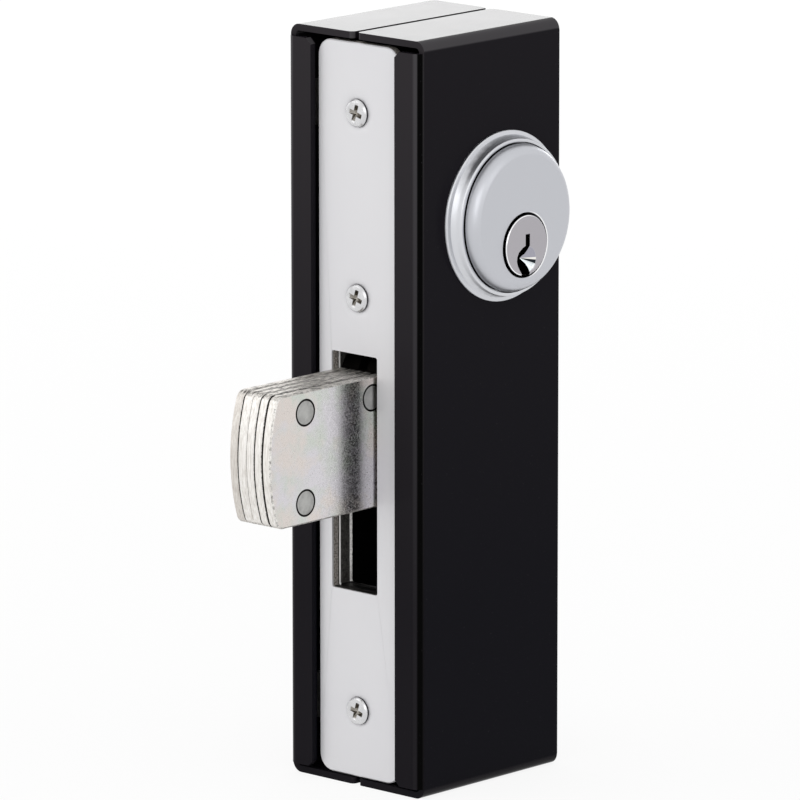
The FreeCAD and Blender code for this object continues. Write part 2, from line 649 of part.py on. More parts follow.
def bevelled(shape, x0, x1):
    """Break the edges round both faces of the blade."""
    rim = [e for e in shape.Edges
           if abs(e.CenterOfMass.x - x0) < 1e-6 or abs(e.CenterOfMass.x - x1) < 1e-6]
    return shape.makeChamfer(PLY_BEVEL, rim)


def tail_sector(x0, x1):
    """Fan-shaped tail behind and below the pivot, which holds the drive slot."""
    rim = []
    for degrees in (TAIL_FROM, (TAIL_FROM + TAIL_TO) / 2, TAIL_TO):
        y, z = about_x(TAIL_R, 0, degrees)
        rim.append(bolt_point(x0, y, z))
    centre = bolt_point(x0, 0, 0)
    edges = [line(centre, rim[0]), arc(rim[0], rim[1], rim[2]), line(rim[2], centre)]
    return Part.Face(Part.Wire(edges)).extrude(V(x1 - x0, 0, 0))


def drive_slot(x0, x1):
    """Slot that follows the drive pin's path as the bolt swings."""
    steps = [drive_pin_place(15.0 * i) for i in range(7)]
    half = DRIVE_PIN_R + DRIVE_SLOT_GAP
    left, right, ends = [], [], []
    for i, (y, z) in enumerate(steps):
        before = drive_pin_place(15.0 * i - 1.0)
        after = drive_pin_place(15.0 * i + 1.0)
        run = V(0, after[0] - before[0], after[1] - before[1])
        run.normalize()
        side = X_AXIS.cross(run) * half
        middle = bolt_point(x0, y, z)
        left.append(middle + side)
        right.append(middle - side)
        ends.append((middle, run * half))
    edges = [spline(left), arc(left[-1], ends[-1][0] + ends[-1][1], right[-1]),
             spline(right[::-1]), arc(right[0], ends[0][0] - ends[0][1], left[0])]
    return Part.Face(Part.Wire(edges)).extrude(V(x1 - x0, 0, 0))


def spline(points):
    curve = Part.BSplineCurve()
    curve.interpolate(points)
    return curve.toShape()


def rivet_places():
    """The bolt's rivets from its pivot, as (y, z): two near the nose and one near the heel."""
    nose = -(BOLT_TIP - NOSE_RIVET_FROM_TIP)
    high = BOLT_TOP_ABOVE_PIVOT - NOSE_RIVET_EDGE
    low = BOLT_TOP_ABOVE_PIVOT - BOLT_H + NOSE_RIVET_EDGE
    return ((nose, high), (nose, low), (-HEEL_RIVET_FROM_PIVOT, high))


def core_window(x0, x1, grow):
    """Room for the hard core, half way along the blade."""
    y = PIVOT_Y - (BOLT_TIP + HEEL) / 2
    z = PIVOT_Z + BOLT_TOP_ABOVE_PIVOT - BOLT_H / 2
    return block(x0, x1, y - CORE_L / 2 - grow, y + CORE_L / 2 + grow, z - CORE_H / 2 - grow,
                 z + CORE_H / 2 + grow)


def bolt_ply(index):
    x0 = BOLT_LEFT + index * PLY_T
    x1 = x0 + PLY_T
    centre_index = PLY_COUNT // 2
    middle = index == centre_index
    plate = bevelled(blade(x0, x1, MIDDLE_HEEL if middle else HEEL), x0, x1)
    extras = [rod_x(MIDDLE_BOSS_R if middle else BOLT_BOSS_R, x0, x1, PIVOT_Y, PIVOT_Z)]
    if middle:
        extras.append(middle_neck(x0, x1))
    if abs(index - centre_index) == 1:
        extras.append(tail_sector(x0, x1))
    plate = fused([plate] + extras)
    holes = [rod_x(PIVOT_PIN_R + RUN_GAP, x0 - 1, x1 + 1, PIVOT_Y, PIVOT_Z)]
    for y, z in rivet_places():
        holes.append(rod_x(RIVET_R + FIT_GAP, x0 - 1, x1 + 1, PIVOT_Y + y, PIVOT_Z + z))
        for face_x in (BOLT_LEFT, BOLT_RIGHT):
            holes.append(rod_x(RIVET_R + RIVET_RING, face_x - RIVET_RING_DEPTH,
                               face_x + RIVET_RING_DEPTH, PIVOT_Y + y, PIVOT_Z + z))
    if abs(index - centre_index) == 1:
        holes.append(drive_slot(x0 - 1, x1 + 1))
    if middle:
        holes.append(core_window(x0 - 1, x1 + 1, CORE_GAP))
    return without(plate, *holes)


def middle_neck(x0, x1):
    """Web that joins the middle plate's blade to its small pivot boss."""
    top = BOLT_TOP_ABOVE_PIVOT
    heel_top = (-MIDDLE_HEEL - RIVET_R, top)
    points = [heel_top, (0, top), (0, -MIDDLE_BOSS_R), (-HEEL, -NOSE_RIVET_EDGE - PLY_T),
              (-MIDDLE_HEEL, -2 * MIDDLE_BOSS_R - HEEL), (-MIDDLE_HEEL - RIVET_R, -2 * MIDDLE_BOSS_R)]
    return prism_x([(PIVOT_Y + y, PIVOT_Z + z) for y, z in points], x0, x1)


# Lever

def lever_place(x, y, z):
    """Point given from the lever's pivot with the lever upright, as it leans at rest."""
    leaned_y, leaned_z = about_x(y, z, LEVER_LEAN)
    return V(x, LEVER_Y + leaned_y, LEVER_Z + leaned_z)


def upright(degrees, r):
    """Point of the upright lever at an angle from its centre line; plus is towards the back."""
    t = math.radians(90.0 - degrees)
    return (r * math.cos(t), r * math.sin(t))


def lever_face(points_and_arcs, x0, x1):
    return Part.Face(Part.Wire(points_and_arcs)).extrude(V(x1 - x0, 0, 0))


def fork(x0, x1):
    """Fan whose outer edge lies on the ears' circle."""
    corners = [lever_place(x0, *p) for p in ((-LEVER_HUB_R + 0.5, 0), (LEVER_HUB_R - 0.5, 0),
                                             upright(EAR_OUTER, EAR_R), upright(0, EAR_R),
                                             upright(-EAR_OUTER, EAR_R))]
    edges = [line(corners[0], corners[1]), line(corners[1], corners[2]),
             arc(corners[2], corners[3], corners[4]), line(corners[4], corners[0])]
    return lever_face(edges, x0, x1)


def notch(x0, x1):
    """The gap between the ears, with a round floor."""
    outer = EAR_R + NOTCH_GAP
    corners = [lever_place(x0, *upright(a, r)) for a, r in (
        (EAR_INNER, NOTCH_R), (EAR_INNER, outer), (-EAR_INNER, outer), (-EAR_INNER, NOTCH_R),
        (0, NOTCH_R), (0, outer))]
    edges = [line(corners[0], corners[1]), arc(corners[1], corners[5], corners[2]),
             line(corners[2], corners[3]), arc(corners[3], corners[4], corners[0])]
    return lever_face(edges, x0, x1)


def hub_flat(x0, x1, degrees):
    """Flat on the hub that faces the leaf spring at one end of the lever's travel."""
    flat_r = LEVER_HUB_R - HUB_FLAT_DEPTH
    tool = block(x0, x1, LEVER_Y + flat_r, LEVER_Y + LEVER_HUB_R + 1, LEVER_Z - 2, LEVER_Z + 2)
    tool.rotate(V(0, LEVER_Y, LEVER_Z), X_AXIS, degrees)
    return tool


def lever_plate():
    x0, x1 = LEVER_LEFT, LEVER_RIGHT
    hub = rod_x(LEVER_HUB_R, x0, x1, LEVER_Y, LEVER_Z)
    hub = without(hub, hub_flat(x0, x1, LEAF_TIP_ANGLE))
    drive = lever_place(x0, -ARM_L, 0)
    arm_corners = [lever_place(x0, y, z) for y, z in ((-ARM_L, -ARM_W / 2), (0, -ARM_W / 2),
                                                      (0, ARM_W / 2), (-ARM_L, ARM_W / 2))]
    arm = Part.Face(Part.makePolygon(arm_corners + arm_corners[:1])).extrude(V(x1 - x0, 0, 0))
    boss = rod_x(ARM_BOSS_R, x0, x1, drive.y, drive.z)
    plate = fused([hub, arm, boss, fork(x0, x1)])
    pin_hole = rod_x(LEVER_PIN_R + RUN_GAP, x0 - 1, x1 + 1, LEVER_Y, LEVER_Z)
    drive_hole = rod_x(DRIVE_PIN_R + FIT_GAP, x0 - 1, x1 + 1, drive.y, drive.z)
    return without(plate, notch(x0 - 1, x1 + 1), pin_hole, drive_hole)


def drive_pin():
    place = lever_place(0, -ARM_L, 0)
    reach = PLY_T * 1.5 - FIT_GAP * 5
    return rod_x(DRIVE_PIN_R, BOLT_X - reach, BOLT_X + reach, place.y, place.z)


def lever_spacers():
    """Two tubes on the lever's pin that keep the lever between the bolt's plates."""
    left = rod_x(SPACER_R, -CASE_INNER, LEVER_LEFT - SPACER_END_GAP, LEVER_Y, LEVER_Z)
    right = rod_x(SPACER_R, LEVER_RIGHT + SPACER_END_GAP, CASE_INNER, LEVER_Y, LEVER_Z)
    bore = rod_x(LEVER_PIN_R + FIT_GAP, -CASE_HALF, CASE_HALF, LEVER_Y, LEVER_Z)
    return left.cut(bore), right.cut(bore)


# Leaf spring

def leaf_root_z():
    return LEVER_Z - LEAF_ROOT_BELOW


def leaf_rivet_heights():
    return (leaf_root_z() + 2 * LEAF_RIVET_HEAD_R, leaf_root_z() + 5 * LEAF_RIVET_HEAD_R)


def strip(points, t, x0, x1):
    """Flat strip of thickness t along a bent centre line of (y, z) points."""
    left, right = [], []
    for i, (y, z) in enumerate(points):
        near = points[max(i - 1, 0)]
        far = points[min(i + 1, len(points) - 1)]
        dy, dz = far[0] - near[0], far[1] - near[1]
        size = math.hypot(dy, dz)
        left.append((y - dz / size * t / 2, z + dy / size * t / 2))
        right.append((y + dz / size * t / 2, z - dy / size * t / 2))
    return prism_x(left + right[::-1], x0, x1)


def leaf_spring():
    back = CASE_BACK - WALL - LEAF_T / 2
    tip = about_x(LEVER_HUB_R + LEAF_GAP + LEAF_T / 2, 0, LEAF_TIP_ANGLE)
    bend = LEVER_Z - LEAF_BEND_BELOW
    points = [(back, leaf_root_z()), (back, bend), (back - LEAF_T * 2, bend + LEAF_T * 3),
              (LEVER_Y + tip[0], LEVER_Z + tip[1])]
    leaf = strip(points, LEAF_T, BOLT_X - LEAF_W / 2, BOLT_X + LEAF_W / 2)
    holes = [rod_y(LEAF_RIVET_R + FIT_GAP, back - LEAF_T, back + LEAF_T, BOLT_X, z)
             for z in leaf_rivet_heights()]
    return without(leaf, *holes)


def leaf_rivet(z):
    inner = CASE_BACK - WALL - LEAF_T
    head = rod_y(LEAF_RIVET_HEAD_R, inner - LEAF_RIVET_HEAD_T, inner, BOLT_X, z)
    shank = rod_y(LEAF_RIVET_R, inner, CASE_BACK, BOLT_X, z)
    foot = rod_y(LEAF_RIVET_HEAD_R, CASE_BACK, CASE_BACK + LEAF_RIVET_HEAD_T, BOLT_X, z)
    return fused([head, shank, foot])


# Cylinder

def pin_xs():
    return [HEAD_UNDER - PIN_FIRST - PIN_PITCH * i for i in range(len(KEY_PIN_LENGTHS))]


def head_shoulder():
    """Start, middle and end of the arc between the head's side and its face, as (x, r)."""
    run = HEAD_FACE - HEAD_RING
    drop = HEAD_R - HEAD_FACE_R
    slope = math.hypot(run, drop)
    middle_x = SIDE + (HEAD_FACE + HEAD_RING) / 2 + HEAD_DOME * drop / slope
    middle_r = (HEAD_R + HEAD_FACE_R) / 2 + HEAD_DOME * run / slope
    return (SIDE + HEAD_RING, HEAD_R), (middle_x, middle_r), (HEAD_OUT, HEAD_FACE_R)


def cylinder_blank():
    """Body and domed head of the cylinder, turned in one piece."""
    def place(x, r):
        return V(x, CYLINDER_Y, CYLINDER_Z + r)
    start, middle, end = head_shoulder()
    corners = [place(*end), place(HEAD_OUT, 0), place(CYLINDER_END, 0),
               place(CYLINDER_END, CYLINDER_R), place(HEAD_UNDER, CYLINDER_R),
               place(HEAD_UNDER, HEAD_R), place(*start)]
    edges = [line(a, b) for a, b in zip(corners, corners[1:])]
    edges.append(arc(corners[-1], place(*middle), corners[0]))
    return Part.Face(Part.Wire(edges)).revolve(V(0, CYLINDER_Y, CYLINDER_Z), X_AXIS, 360)


def cylinder_shell():
    shell = cylinder_blank()
    bore = rod_x(PLUG_R + PLUG_GAP, CYLINDER_END - 1, HEAD_OUT + 1, CYLINDER_Y, PLUG_Z)
    mouth = rod_x(PLUG_R + MOUTH_GAP, HEAD_OUT - MOUTH_DEPTH, HEAD_OUT + 1, CYLINDER_Y, PLUG_Z)
    groove_bottom = CYLINDER_Y - CYLINDER_R + SET_GROOVE_DEPTH
    groove = block(CYLINDER_END - 1, HEAD_UNDER - 2 * WALL, CYLINDER_Y - CYLINDER_R - 1,
                   groove_bottom, CYLINDER_Z - SET_SCREW_R - CLEAR_HOLE_GAP,
                   CYLINDER_Z + SET_SCREW_R + CLEAR_HOLE_GAP)
    xs = pin_xs()
    cap_slot = block(xs[-1] - CAP_W / 2, xs[0] + CAP_W / 2, CYLINDER_Y - CAP_W / 2,
                     CYLINDER_Y + CAP_W / 2, CAP_UNDER, CYLINDER_Z + CYLINDER_R + 1)
    chambers = [rod_z(PIN_R + PIN_GAP, PLUG_Z, CAP_UNDER + 1, x, CYLINDER_Y) for x in xs]
    return without(shell, bore, mouth, groove, cap_slot, *chambers)


def chamber_cap():
    xs = pin_xs()
    cap = block(xs[-1] - CAP_W / 2, xs[0] + CAP_W / 2, CYLINDER_Y - CAP_W / 2,
                CYLINDER_Y + CAP_W / 2, CAP_UNDER, CYLINDER_Z + CYLINDER_R)
    return cap.common(rod_x(CYLINDER_R - FIT_GAP, CYLINDER_END, HEAD_UNDER, CYLINDER_Y, CYLINDER_Z))


def driver_foot():
    return PLUG_Z + PLUG_R + DRIVER_LIFT


def driver_pin(x):
    return rod_z(PIN_R, driver_foot(), driver_foot() + DRIVER_L, x, CYLINDER_Y)


def coil(x, y, z0, z1, r, wire_r, turns):
    """Open coil of round wire along Z, its centre line made of quarter-turn arcs."""
    def on_coil(quarters):
        t = quarters * math.pi / 2
        rise = (z1 - z0) * quarters / (turns * 4)
        return V(x + r * math.cos(t), y + r * math.sin(t), z0 + rise)
    arcs = [arc(on_coil(i), on_coil(i + 0.5), on_coil(i + 1)) for i in range(turns * 4)]
    path = Part.Wire(arcs)
    start = on_coil(0)
    heading = arcs[0].tangentAt(arcs[0].FirstParameter)
    profile = Part.Wire(Part.makeCircle(wire_r, start, heading))
    return path.makePipeShell([profile], True, False)


def pin_spring(x):
    foot = driver_foot() + DRIVER_L + SPRING_WIRE_R + FIT_GAP
    top = CAP_UNDER - SPRING_WIRE_R - FIT_GAP
    return coil(x, CYLINDER_Y, foot, top, PIN_R - SPRING_WIRE_R - SPRING_SIDE_GAP, SPRING_WIRE_R,
                SPRING_TURNS)


def keyway():
    """Winding key slot, drawn on the plug's face from its centre, and cut along the plug."""
    left_y = KEYWAY_SHIFT - KEYWAY_W / 2
    right_y = KEYWAY_SHIFT + KEYWAY_W / 2
    outline = [(left_y, KEYWAY_TOP), (left_y, KEYWAY_BEND)]
    outline.extend(KEYWAY_LEFT + KEYWAY_RIGHT)
    outline.extend([(right_y, KEYWAY_BEND), (right_y, KEYWAY_TOP)])
    points = [(CYLINDER_Y + y, PLUG_Z + z) for y, z in outline]
    return prism_x(points, LEVER_RIGHT + KEYWAY_END, PLUG_OUT + 1)


def cylinder_plug():
    plug = rod_x(PLUG_R, LEVER_RIGHT, PLUG_OUT, CYLINDER_Y, PLUG_Z)
    rim = [e for e in plug.Edges if abs(e.CenterOfMass.x - PLUG_OUT) < 1e-6 and e.Length > 1]
    plug = plug.makeChamfer(PLUG_EDGE, rim)
    tip = V(PLUG_OUT - COUNTERSINK_DEPTH, CYLINDER_Y + COUNTERSINK_SHIFT, PLUG_Z - COUNTERSINK_R)
    cone = Part.makeCone(0, COUNTERSINK_R, COUNTERSINK_DEPTH, tip, X_AXIS)
    holes = [rod_z(PIN_R + PIN_GAP, PLUG_Z + 1, PLUG_Z + PLUG_R + 1, x, CYLINDER_Y)
             for x in pin_xs()]
    for y in cam_screw_ys():
        holes.append(rod_x(CAM_SCREW_R + THREAD_GAP, LEVER_LEFT, cam_screw_end(), y, PLUG_Z))
    return without(plug, keyway(), cone, *holes)


def key_pin(x, length):
    top = PLUG_Z + PLUG_R - KEY_PIN_SHORTFALL
    body = rod_z(PIN_R, top - length + KEY_PIN_TIP, top, x, CYLINDER_Y)
    tip = Part.makeCone(PIN_R / 2, PIN_R, KEY_PIN_TIP, V(x, CYLINDER_Y, top - length), Z_AXIS)
    return fused([body, tip])


def cam_screw_ys():
    return (CYLINDER_Y - CAM_SCREW_OUT, CYLINDER_Y + CAM_SCREW_OUT)


def cam_screw_end():
    return LEVER_LEFT + CAM_SCREW_L


def cam():
    hub = rod_x(CAM_HUB_R, LEVER_LEFT, LEVER_RIGHT, CYLINDER_Y, PLUG_Z)
    lobe = block(LEVER_LEFT, LEVER_RIGHT, CYLINDER_Y - CAM_LOBE_W / 2, CYLINDER_Y + CAM_LOBE_W / 2,
                 PLUG_Z, PLUG_Z + CAM_LOBE_R + 1)
    lobe = lobe.common(rod_x(CAM_LOBE_R, LEVER_LEFT, LEVER_RIGHT, CYLINDER_Y, PLUG_Z))
    holes = [rod_x(CAM_SCREW_R + THREAD_GAP, LEVER_LEFT - 1, LEVER_RIGHT + 1, y, PLUG_Z)
             for y in cam_screw_ys()]
    return without(fused([hub, lobe]), *holes)


def cam_screw(y):
    head = rod_x(CAM_SCREW_HEAD_R, LEVER_LEFT - CAM_SCREW_HEAD_T, LEVER_LEFT, y, PLUG_Z)
    shank = rod_x(CAM_SCREW_R, LEVER_LEFT, cam_screw_end(), y, PLUG_Z)
    slot = block(LEVER_LEFT - CAM_SCREW_HEAD_T - 1, LEVER_LEFT - CAM_SCREW_HEAD_T / 2,
                 y - CAM_SCREW_HEAD_R, y + CAM_SCREW_HEAD_R, PLUG_Z - CAM_SCREW_R / 3,
                 PLUG_Z + CAM_SCREW_R / 3)
    return without(fused([head, shank]), slot)


def set_screw():
    tip = CYLINDER_Y - CYLINDER_R + SET_SCREW_BITE
    screw = rod_y(SET_SCREW_R, CASE_FRONT + FIT_GAP, tip, SET_SCREW_X, CYLINDER_Z)
    slot = block(SET_SCREW_X - SET_SCREW_R, SET_SCREW_X + SET_SCREW_R, CASE_FRONT,
                 CASE_FRONT + SET_SCREW_R / 2, CYLINDER_Z - CROSS_W / 3, CYLINDER_Z + CROSS_W / 3)
    return without(screw, slot)


# Collar

def collar_ring():
    """Stepped ring that fills the gap between the box's side and the cylinder's head."""
    bore_r = CYLINDER_R + SIDE_HOLE_GAP
    well_r = HEAD_R + COLLAR_HEAD_GAP
    points = [(SIDE, bore_r), (SIDE, COLLAR_R), (SIDE + COLLAR_RIM_H, COLLAR_R),
              (SIDE + COLLAR_BAND_H, COLLAR_BAND_R), (SIDE + COLLAR_BAND_H * 2, COLLAR_COVE_R + 0.1),
              (SIDE + COLLAR_H, COLLAR_COVE_R - 0.1), (SIDE + COLLAR_H, well_r),
              (SIDE + COLLAR_LEDGE_H, well_r), (SIDE + COLLAR_LEDGE_H, bore_r)]
    ring = turned_x(points, CYLINDER_Y, CYLINDER_Z)
    ring = rounded_edges(ring, COLLAR_RIM_ROUND, ((SIDE + COLLAR_RIM_H, COLLAR_R),))
    return rounded_edges(ring, COLLAR_TOP_ROUND, ((SIDE + COLLAR_H, COLLAR_COVE_R - 0.1),))


def spring_washer():
    """Coned washer that presses the collar against the box."""
    ledge = SIDE + COLLAR_LEDGE_H
    inner_r = CYLINDER_R + WASHER_IN
    outer_r = HEAD_R - WASHER_IN
    points = [(ledge, outer_r), (HEAD_UNDER - WASHER_T, inner_r), (HEAD_UNDER, inner_r),
              (ledge + WASHER_T, outer_r)]
    return turned_x(points, CYLINDER_Y, CYLINDER_Z)


# The fixed pieces
save("box_shell", box_shell())
save("upper_weld_tab", weld_tab(UPPER_SCREW_Z))
save("lower_weld_tab", weld_tab(LOWER_SCREW_Z))
save("faceplate", faceplate())
save("armour_plate", armour_plate())
save("upper_mount_screw", faceplate_screw(UPPER_SCREW_Z, SCREW_R, TAB_BACK + SCREW_PAST_TAB))
save("lower_mount_screw", faceplate_screw(LOWER_SCREW_Z, SCREW_R, TAB_BACK + SCREW_PAST_TAB))
save("centre_screw", faceplate_screw(CENTRE_SCREW_Z, CENTRE_SCREW_R, ARMOUR_BACK))
save("armour_screws", *[armour_screw(z) for z in armour_screw_heights()])
save("case_body", case_body())
save("case_cover", case_cover())
save("cover_screws", *[cover_screw(y, z) for y, z in post_places()])
save("bolt_pivot_pin", rod_x(PIVOT_PIN_R, -CASE_HALF, CASE_HALF, PIVOT_Y, PIVOT_Z))
save("lever_pivot_pin", rod_x(LEVER_PIN_R, -CASE_HALF, CASE_HALF, LEVER_Y, LEVER_Z))
save("lever_spacers", *lever_spacers())
save("leaf_spring", leaf_spring())
save("leaf_spring_rivets", *[leaf_rivet(z) for z in leaf_rivet_heights()])
save("cylinder_shell", cylinder_shell())
save("cylinder_set_screw", set_screw())
save("chamber_cap", chamber_cap())
save("driver_pins", *[driver_pin(x) for x in pin_xs()])
save("pin_springs", *[pin_spring(x) for x in pin_xs()])
save("collar_ring", collar_ring())
save("collar_spring_washer", spring_washer())

# The bolt
for number in range(PLY_COUNT):
    save("bolt_plate_" + str(number + 1), bolt_ply(number))
save("bolt_rivets", *[rod_x(RIVET_R, BOLT_LEFT, BOLT_RIGHT, PIVOT_Y + y, PIVOT_Z + z)
                      for y, z in rivet_places()])
save("bolt_core", core_window(BOLT_X - PLY_T / 2 + CORE_GAP, BOLT_X + PLY_T / 2 - CORE_GAP, 0))

# The lever
save("lever_plate", lever_plate())
save("lever_drive_pin", drive_pin())

# The plug and the cam that it turns
save("cylinder_plug", cylinder_plug())
save("key_pins", *[key_pin(x, length) for x, length in zip(pin_xs(), KEY_PIN_LENGTHS)])
save("cam", cam())
save("cam_screws", *[cam_screw(y) for y in cam_screw_ys()])

print("box", round(BOX_W, 3), round(BOX_D, 3), round(BOX_H, 3))
print("pivot", round(PIVOT_Y, 3), round(PIVOT_Z, 3), "lever", round(LEVER_Y, 3), round(LEVER_Z, 3))
print("plug axis", round(CYLINDER_Y, 3), round(PLUG_Z, 3), "slot", round(SLOT_FOOT, 3), round(SLOT_TOP, 3))
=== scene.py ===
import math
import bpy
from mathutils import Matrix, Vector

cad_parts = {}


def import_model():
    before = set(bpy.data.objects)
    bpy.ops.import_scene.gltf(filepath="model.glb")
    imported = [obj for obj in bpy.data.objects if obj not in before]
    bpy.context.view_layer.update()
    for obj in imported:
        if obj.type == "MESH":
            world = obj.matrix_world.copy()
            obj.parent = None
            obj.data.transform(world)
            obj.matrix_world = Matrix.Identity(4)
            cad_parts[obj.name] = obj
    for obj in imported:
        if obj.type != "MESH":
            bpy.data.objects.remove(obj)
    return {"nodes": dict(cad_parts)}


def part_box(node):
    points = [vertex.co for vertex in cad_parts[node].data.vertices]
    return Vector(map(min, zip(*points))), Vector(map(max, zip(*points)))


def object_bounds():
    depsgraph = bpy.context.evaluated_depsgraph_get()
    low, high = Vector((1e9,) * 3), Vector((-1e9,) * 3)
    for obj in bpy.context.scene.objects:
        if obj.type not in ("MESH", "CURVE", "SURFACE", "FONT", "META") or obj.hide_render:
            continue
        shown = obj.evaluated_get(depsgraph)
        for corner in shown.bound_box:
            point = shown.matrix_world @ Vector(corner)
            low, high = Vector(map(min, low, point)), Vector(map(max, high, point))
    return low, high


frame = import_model()

# %% [markdown]
# # A mortise deadlock in its weld-on box
# The frame holds every piece of the lock, already at its true size and place: a black box bent
# from sheet, a satin faceplate, a bolt laminated from five steel plates, a key cylinder and the
# works inside. This lesson gives each piece the finish that it has on the real lock, softens the
# edges that a press or a file would soften, and lights the whole like a photograph for a
# catalogue. Nothing is moved, so the lock still works in every pose.

MM = 0.001
cad_low, cad_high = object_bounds()
nodes = frame["nodes"]
print("nodes:", len(nodes), "size in mm:", [round(v / MM, 2) for v in cad_high - cad_low])


# %% [markdown]
# ## Places that the finishes need
# Some finishes follow the work of a lathe or a file, so they need an axis or a level. The rivets
# share one node, so their centres come from its points: a point joins the group that it is near,
# and each group is one rivet.

# %% Read the places
RIVET_REACH = 14 * MM       # farther than a rivet's own points, nearer than the next rivet


def middle(name):
    low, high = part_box(name)
    return (low + high) / 2


def centres(name, reach):
    """The centre of each of a node's solids. Points nearer than reach to a group belong to it."""
    groups = []
    for vertex in nodes[name].data.vertices:
        for low, high in groups:
            if ((low + high) / 2 - vertex.co).length < reach:
                for axis in range(3):
                    low[axis] = min(low[axis], vertex.co[axis])
                    high[axis] = max(high[axis], vertex.co[axis])
                break
        else:
            groups.append((vertex.co.copy(), vertex.co.copy()))
    return [(low + high) / 2 for low, high in groups]


plug_axis = middle("cylinder_plug")
head_axis = middle("collar_ring")
plates = sorted(name for name in nodes if name.startswith("bolt_plate"))
joints_x = [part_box(name)[1].x for name in plates[:-1]]
face_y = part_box("faceplate")[0].y
face_back_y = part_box("faceplate")[1].y
rivets = centres("bolt_rivets", RIVET_REACH)
rivet_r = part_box("bolt_rivets")[1].z - max(rivet.z for rivet in rivets)
print("rivets at:", [tuple(round(v / MM, 2) for v in rivet) for rivet in rivets])
print("plug axis:", tuple(round(v / MM, 2) for v in plug_axis))
print("faceplate front:", round(face_y / MM, 2), "back:", round(face_back_y / MM, 2))
print("joints between the plates at x:", [round(x / MM, 2) for x in joints_x])


# %% [markdown]
# ## Softened edges
# A solid from a CAD file has perfectly sharp edges, which never catch the light. Real sheet has
# an edge rounded by the shear and the paint, and real plates are tumbled. The shapes could be
# rebuilt with rounds, but a Bevel modifier does it without touching the mesh: it rounds only the
# edges that turn by more than its angle. Weld comes first, because an imported mesh has separate
# corners for each face, and an edge between unjoined faces can't be rounded. The last modifier
# gives the large faces their own shading, so that only the rounds look round.

# %% Round the edges of a node
WELD_WITHIN = 0.002 * MM
SHARP_ANGLE = math.radians(35.0)
LARGE_FACES_FIRST = 100


def soften(name, width, segments=2):
    """Round a node's edges to a width in mm."""
    piece = nodes[name]
    weld = piece.modifiers.new("weld", "WELD")
    weld.merge_threshold = WELD_WITHIN
    bevel = piece.modifiers.new("round", "BEVEL")
    bevel.width = width * MM
    bevel.segments = segments
    bevel.limit_method = "ANGLE"
    bevel.angle_limit = SHARP_ANGLE
    bevel.use_clamp_overlap = True
    shading = piece.modifiers.new("shading", "WEIGHTED_NORMAL")
    shading.mode = "FACE_AREA"
    shading.weight = LARGE_FACES_FIRST
    shading.keep_sharp = False
    for polygon in piece.data.polygons:
        polygon.use_smooth = True


# %% [markdown]
# ## Building blocks for a finish
# Every finish here is one Principled shader with a few textures behind it, and all the textures
# are worked out from the piece's own coordinates in metres. Image textures could hold the same
# wear, but a procedural one has no seams and stays sharp at any distance. A value that is the
# same all over goes straight on the shader; only what varies gets nodes.

# %% Start a finish
def new_finish(name, colour, roughness, metallic=1.0):
    material = bpy.data.materials.new(name)
    material.use_nodes = True
    shader = material.node_tree.nodes["Principled BSDF"]
    shader.inputs["Base Color"].default_value = (*colour, 1.0)
    shader.inputs["Roughness"].default_value = roughness
    shader.inputs["Metallic"].default_value = metallic
    return material, material.node_tree, shader


def add(tree, kind, **settings):
    node = tree.nodes.new(kind)
    for key, value in settings.items():
        setattr(node, key, value)
    return node


def fill(tree, socket, value):
    """Set a socket to a number or a colour, or link it to another node's output."""
    if isinstance(value, tuple):
        socket.default_value = (*value, 1.0)
    elif isinstance(value, (int, float)):
        socket.default_value = value
    else:
        tree.links.new(value, socket)


# %% Textures in the piece's own coordinates
def coordinates(tree, centre=(0, 0, 0), stretch=(1, 1, 1), turn=(0, 0, 0)):
    source = add(tree, "ShaderNodeTexCoord")
    shift = add(tree, "ShaderNodeVectorMath", operation="SUBTRACT")
    tree.links.new(source.outputs["Object"], shift.inputs[0])
    shift.inputs[1].default_value = centre
    scale = add(tree, "ShaderNodeMapping")
    tree.links.new(shift.outputs[0], scale.inputs["Vector"])
    scale.inputs["Scale"].default_value = stretch
    scale.inputs["Rotation"].default_value = turn
    return scale.outputs["Vector"]


def noise(tree, where, scale, detail=3.0, rough=0.55):
    """Soft blobs, as many in a metre as the scale says."""
    texture = add(tree, "ShaderNodeTexNoise")
    tree.links.new(where, texture.inputs["Vector"])
    texture.inputs["Scale"].default_value = scale
    texture.inputs["Detail"].default_value = detail
    texture.inputs["Roughness"].default_value = rough
    return texture.outputs["Fac"]


def cells(tree, where, scale):
    """Cells with sharp borders, as many in a metre as the scale says."""
    texture = add(tree, "ShaderNodeTexVoronoi")
    tree.links.new(where, texture.inputs["Vector"])
    texture.inputs["Scale"].default_value = scale
    return texture


# %% Numbers
def spread(tree, value, low, high, start=0.3, end=0.7):
    """A number that goes from low to high while the value goes from start to end."""
    ramp = add(tree, "ShaderNodeMapRange", clamp=True)
    tree.links.new(value, ramp.inputs["Value"])
    for key, number in zip(("From Min", "From Max", "To Min", "To Max"), (start, end, low, high)):
        ramp.inputs[key].default_value = number
    return ramp.outputs["Result"]


def worked(tree, operation, first, second=0.0):
    step = add(tree, "ShaderNodeMath", operation=operation, use_clamp=False)
    fill(tree, step.inputs[0], first)
    fill(tree, step.inputs[1], second)
    return step.outputs[0]


def either(tree, mask, first, second):
    """The number first where the mask is 0, and second where it is 1."""
    mix = add(tree, "ShaderNodeMix", data_type="FLOAT")
    for socket, value in zip((mix.inputs[0], mix.inputs[2], mix.inputs[3]), (mask, first, second)):
        fill(tree, socket, value)
    return mix.outputs[0]


# %% Colours and relief
def tint(tree, mask, first, second):
    """The colour first where the mask is 0, and second where it is 1."""
    mix = add(tree, "ShaderNodeMix", data_type="RGBA")
    for socket, value in zip((mix.inputs["Factor"], mix.inputs[6], mix.inputs[7]),
                             (mask, first, second)):
        fill(tree, socket, value)
    return mix.outputs[2]


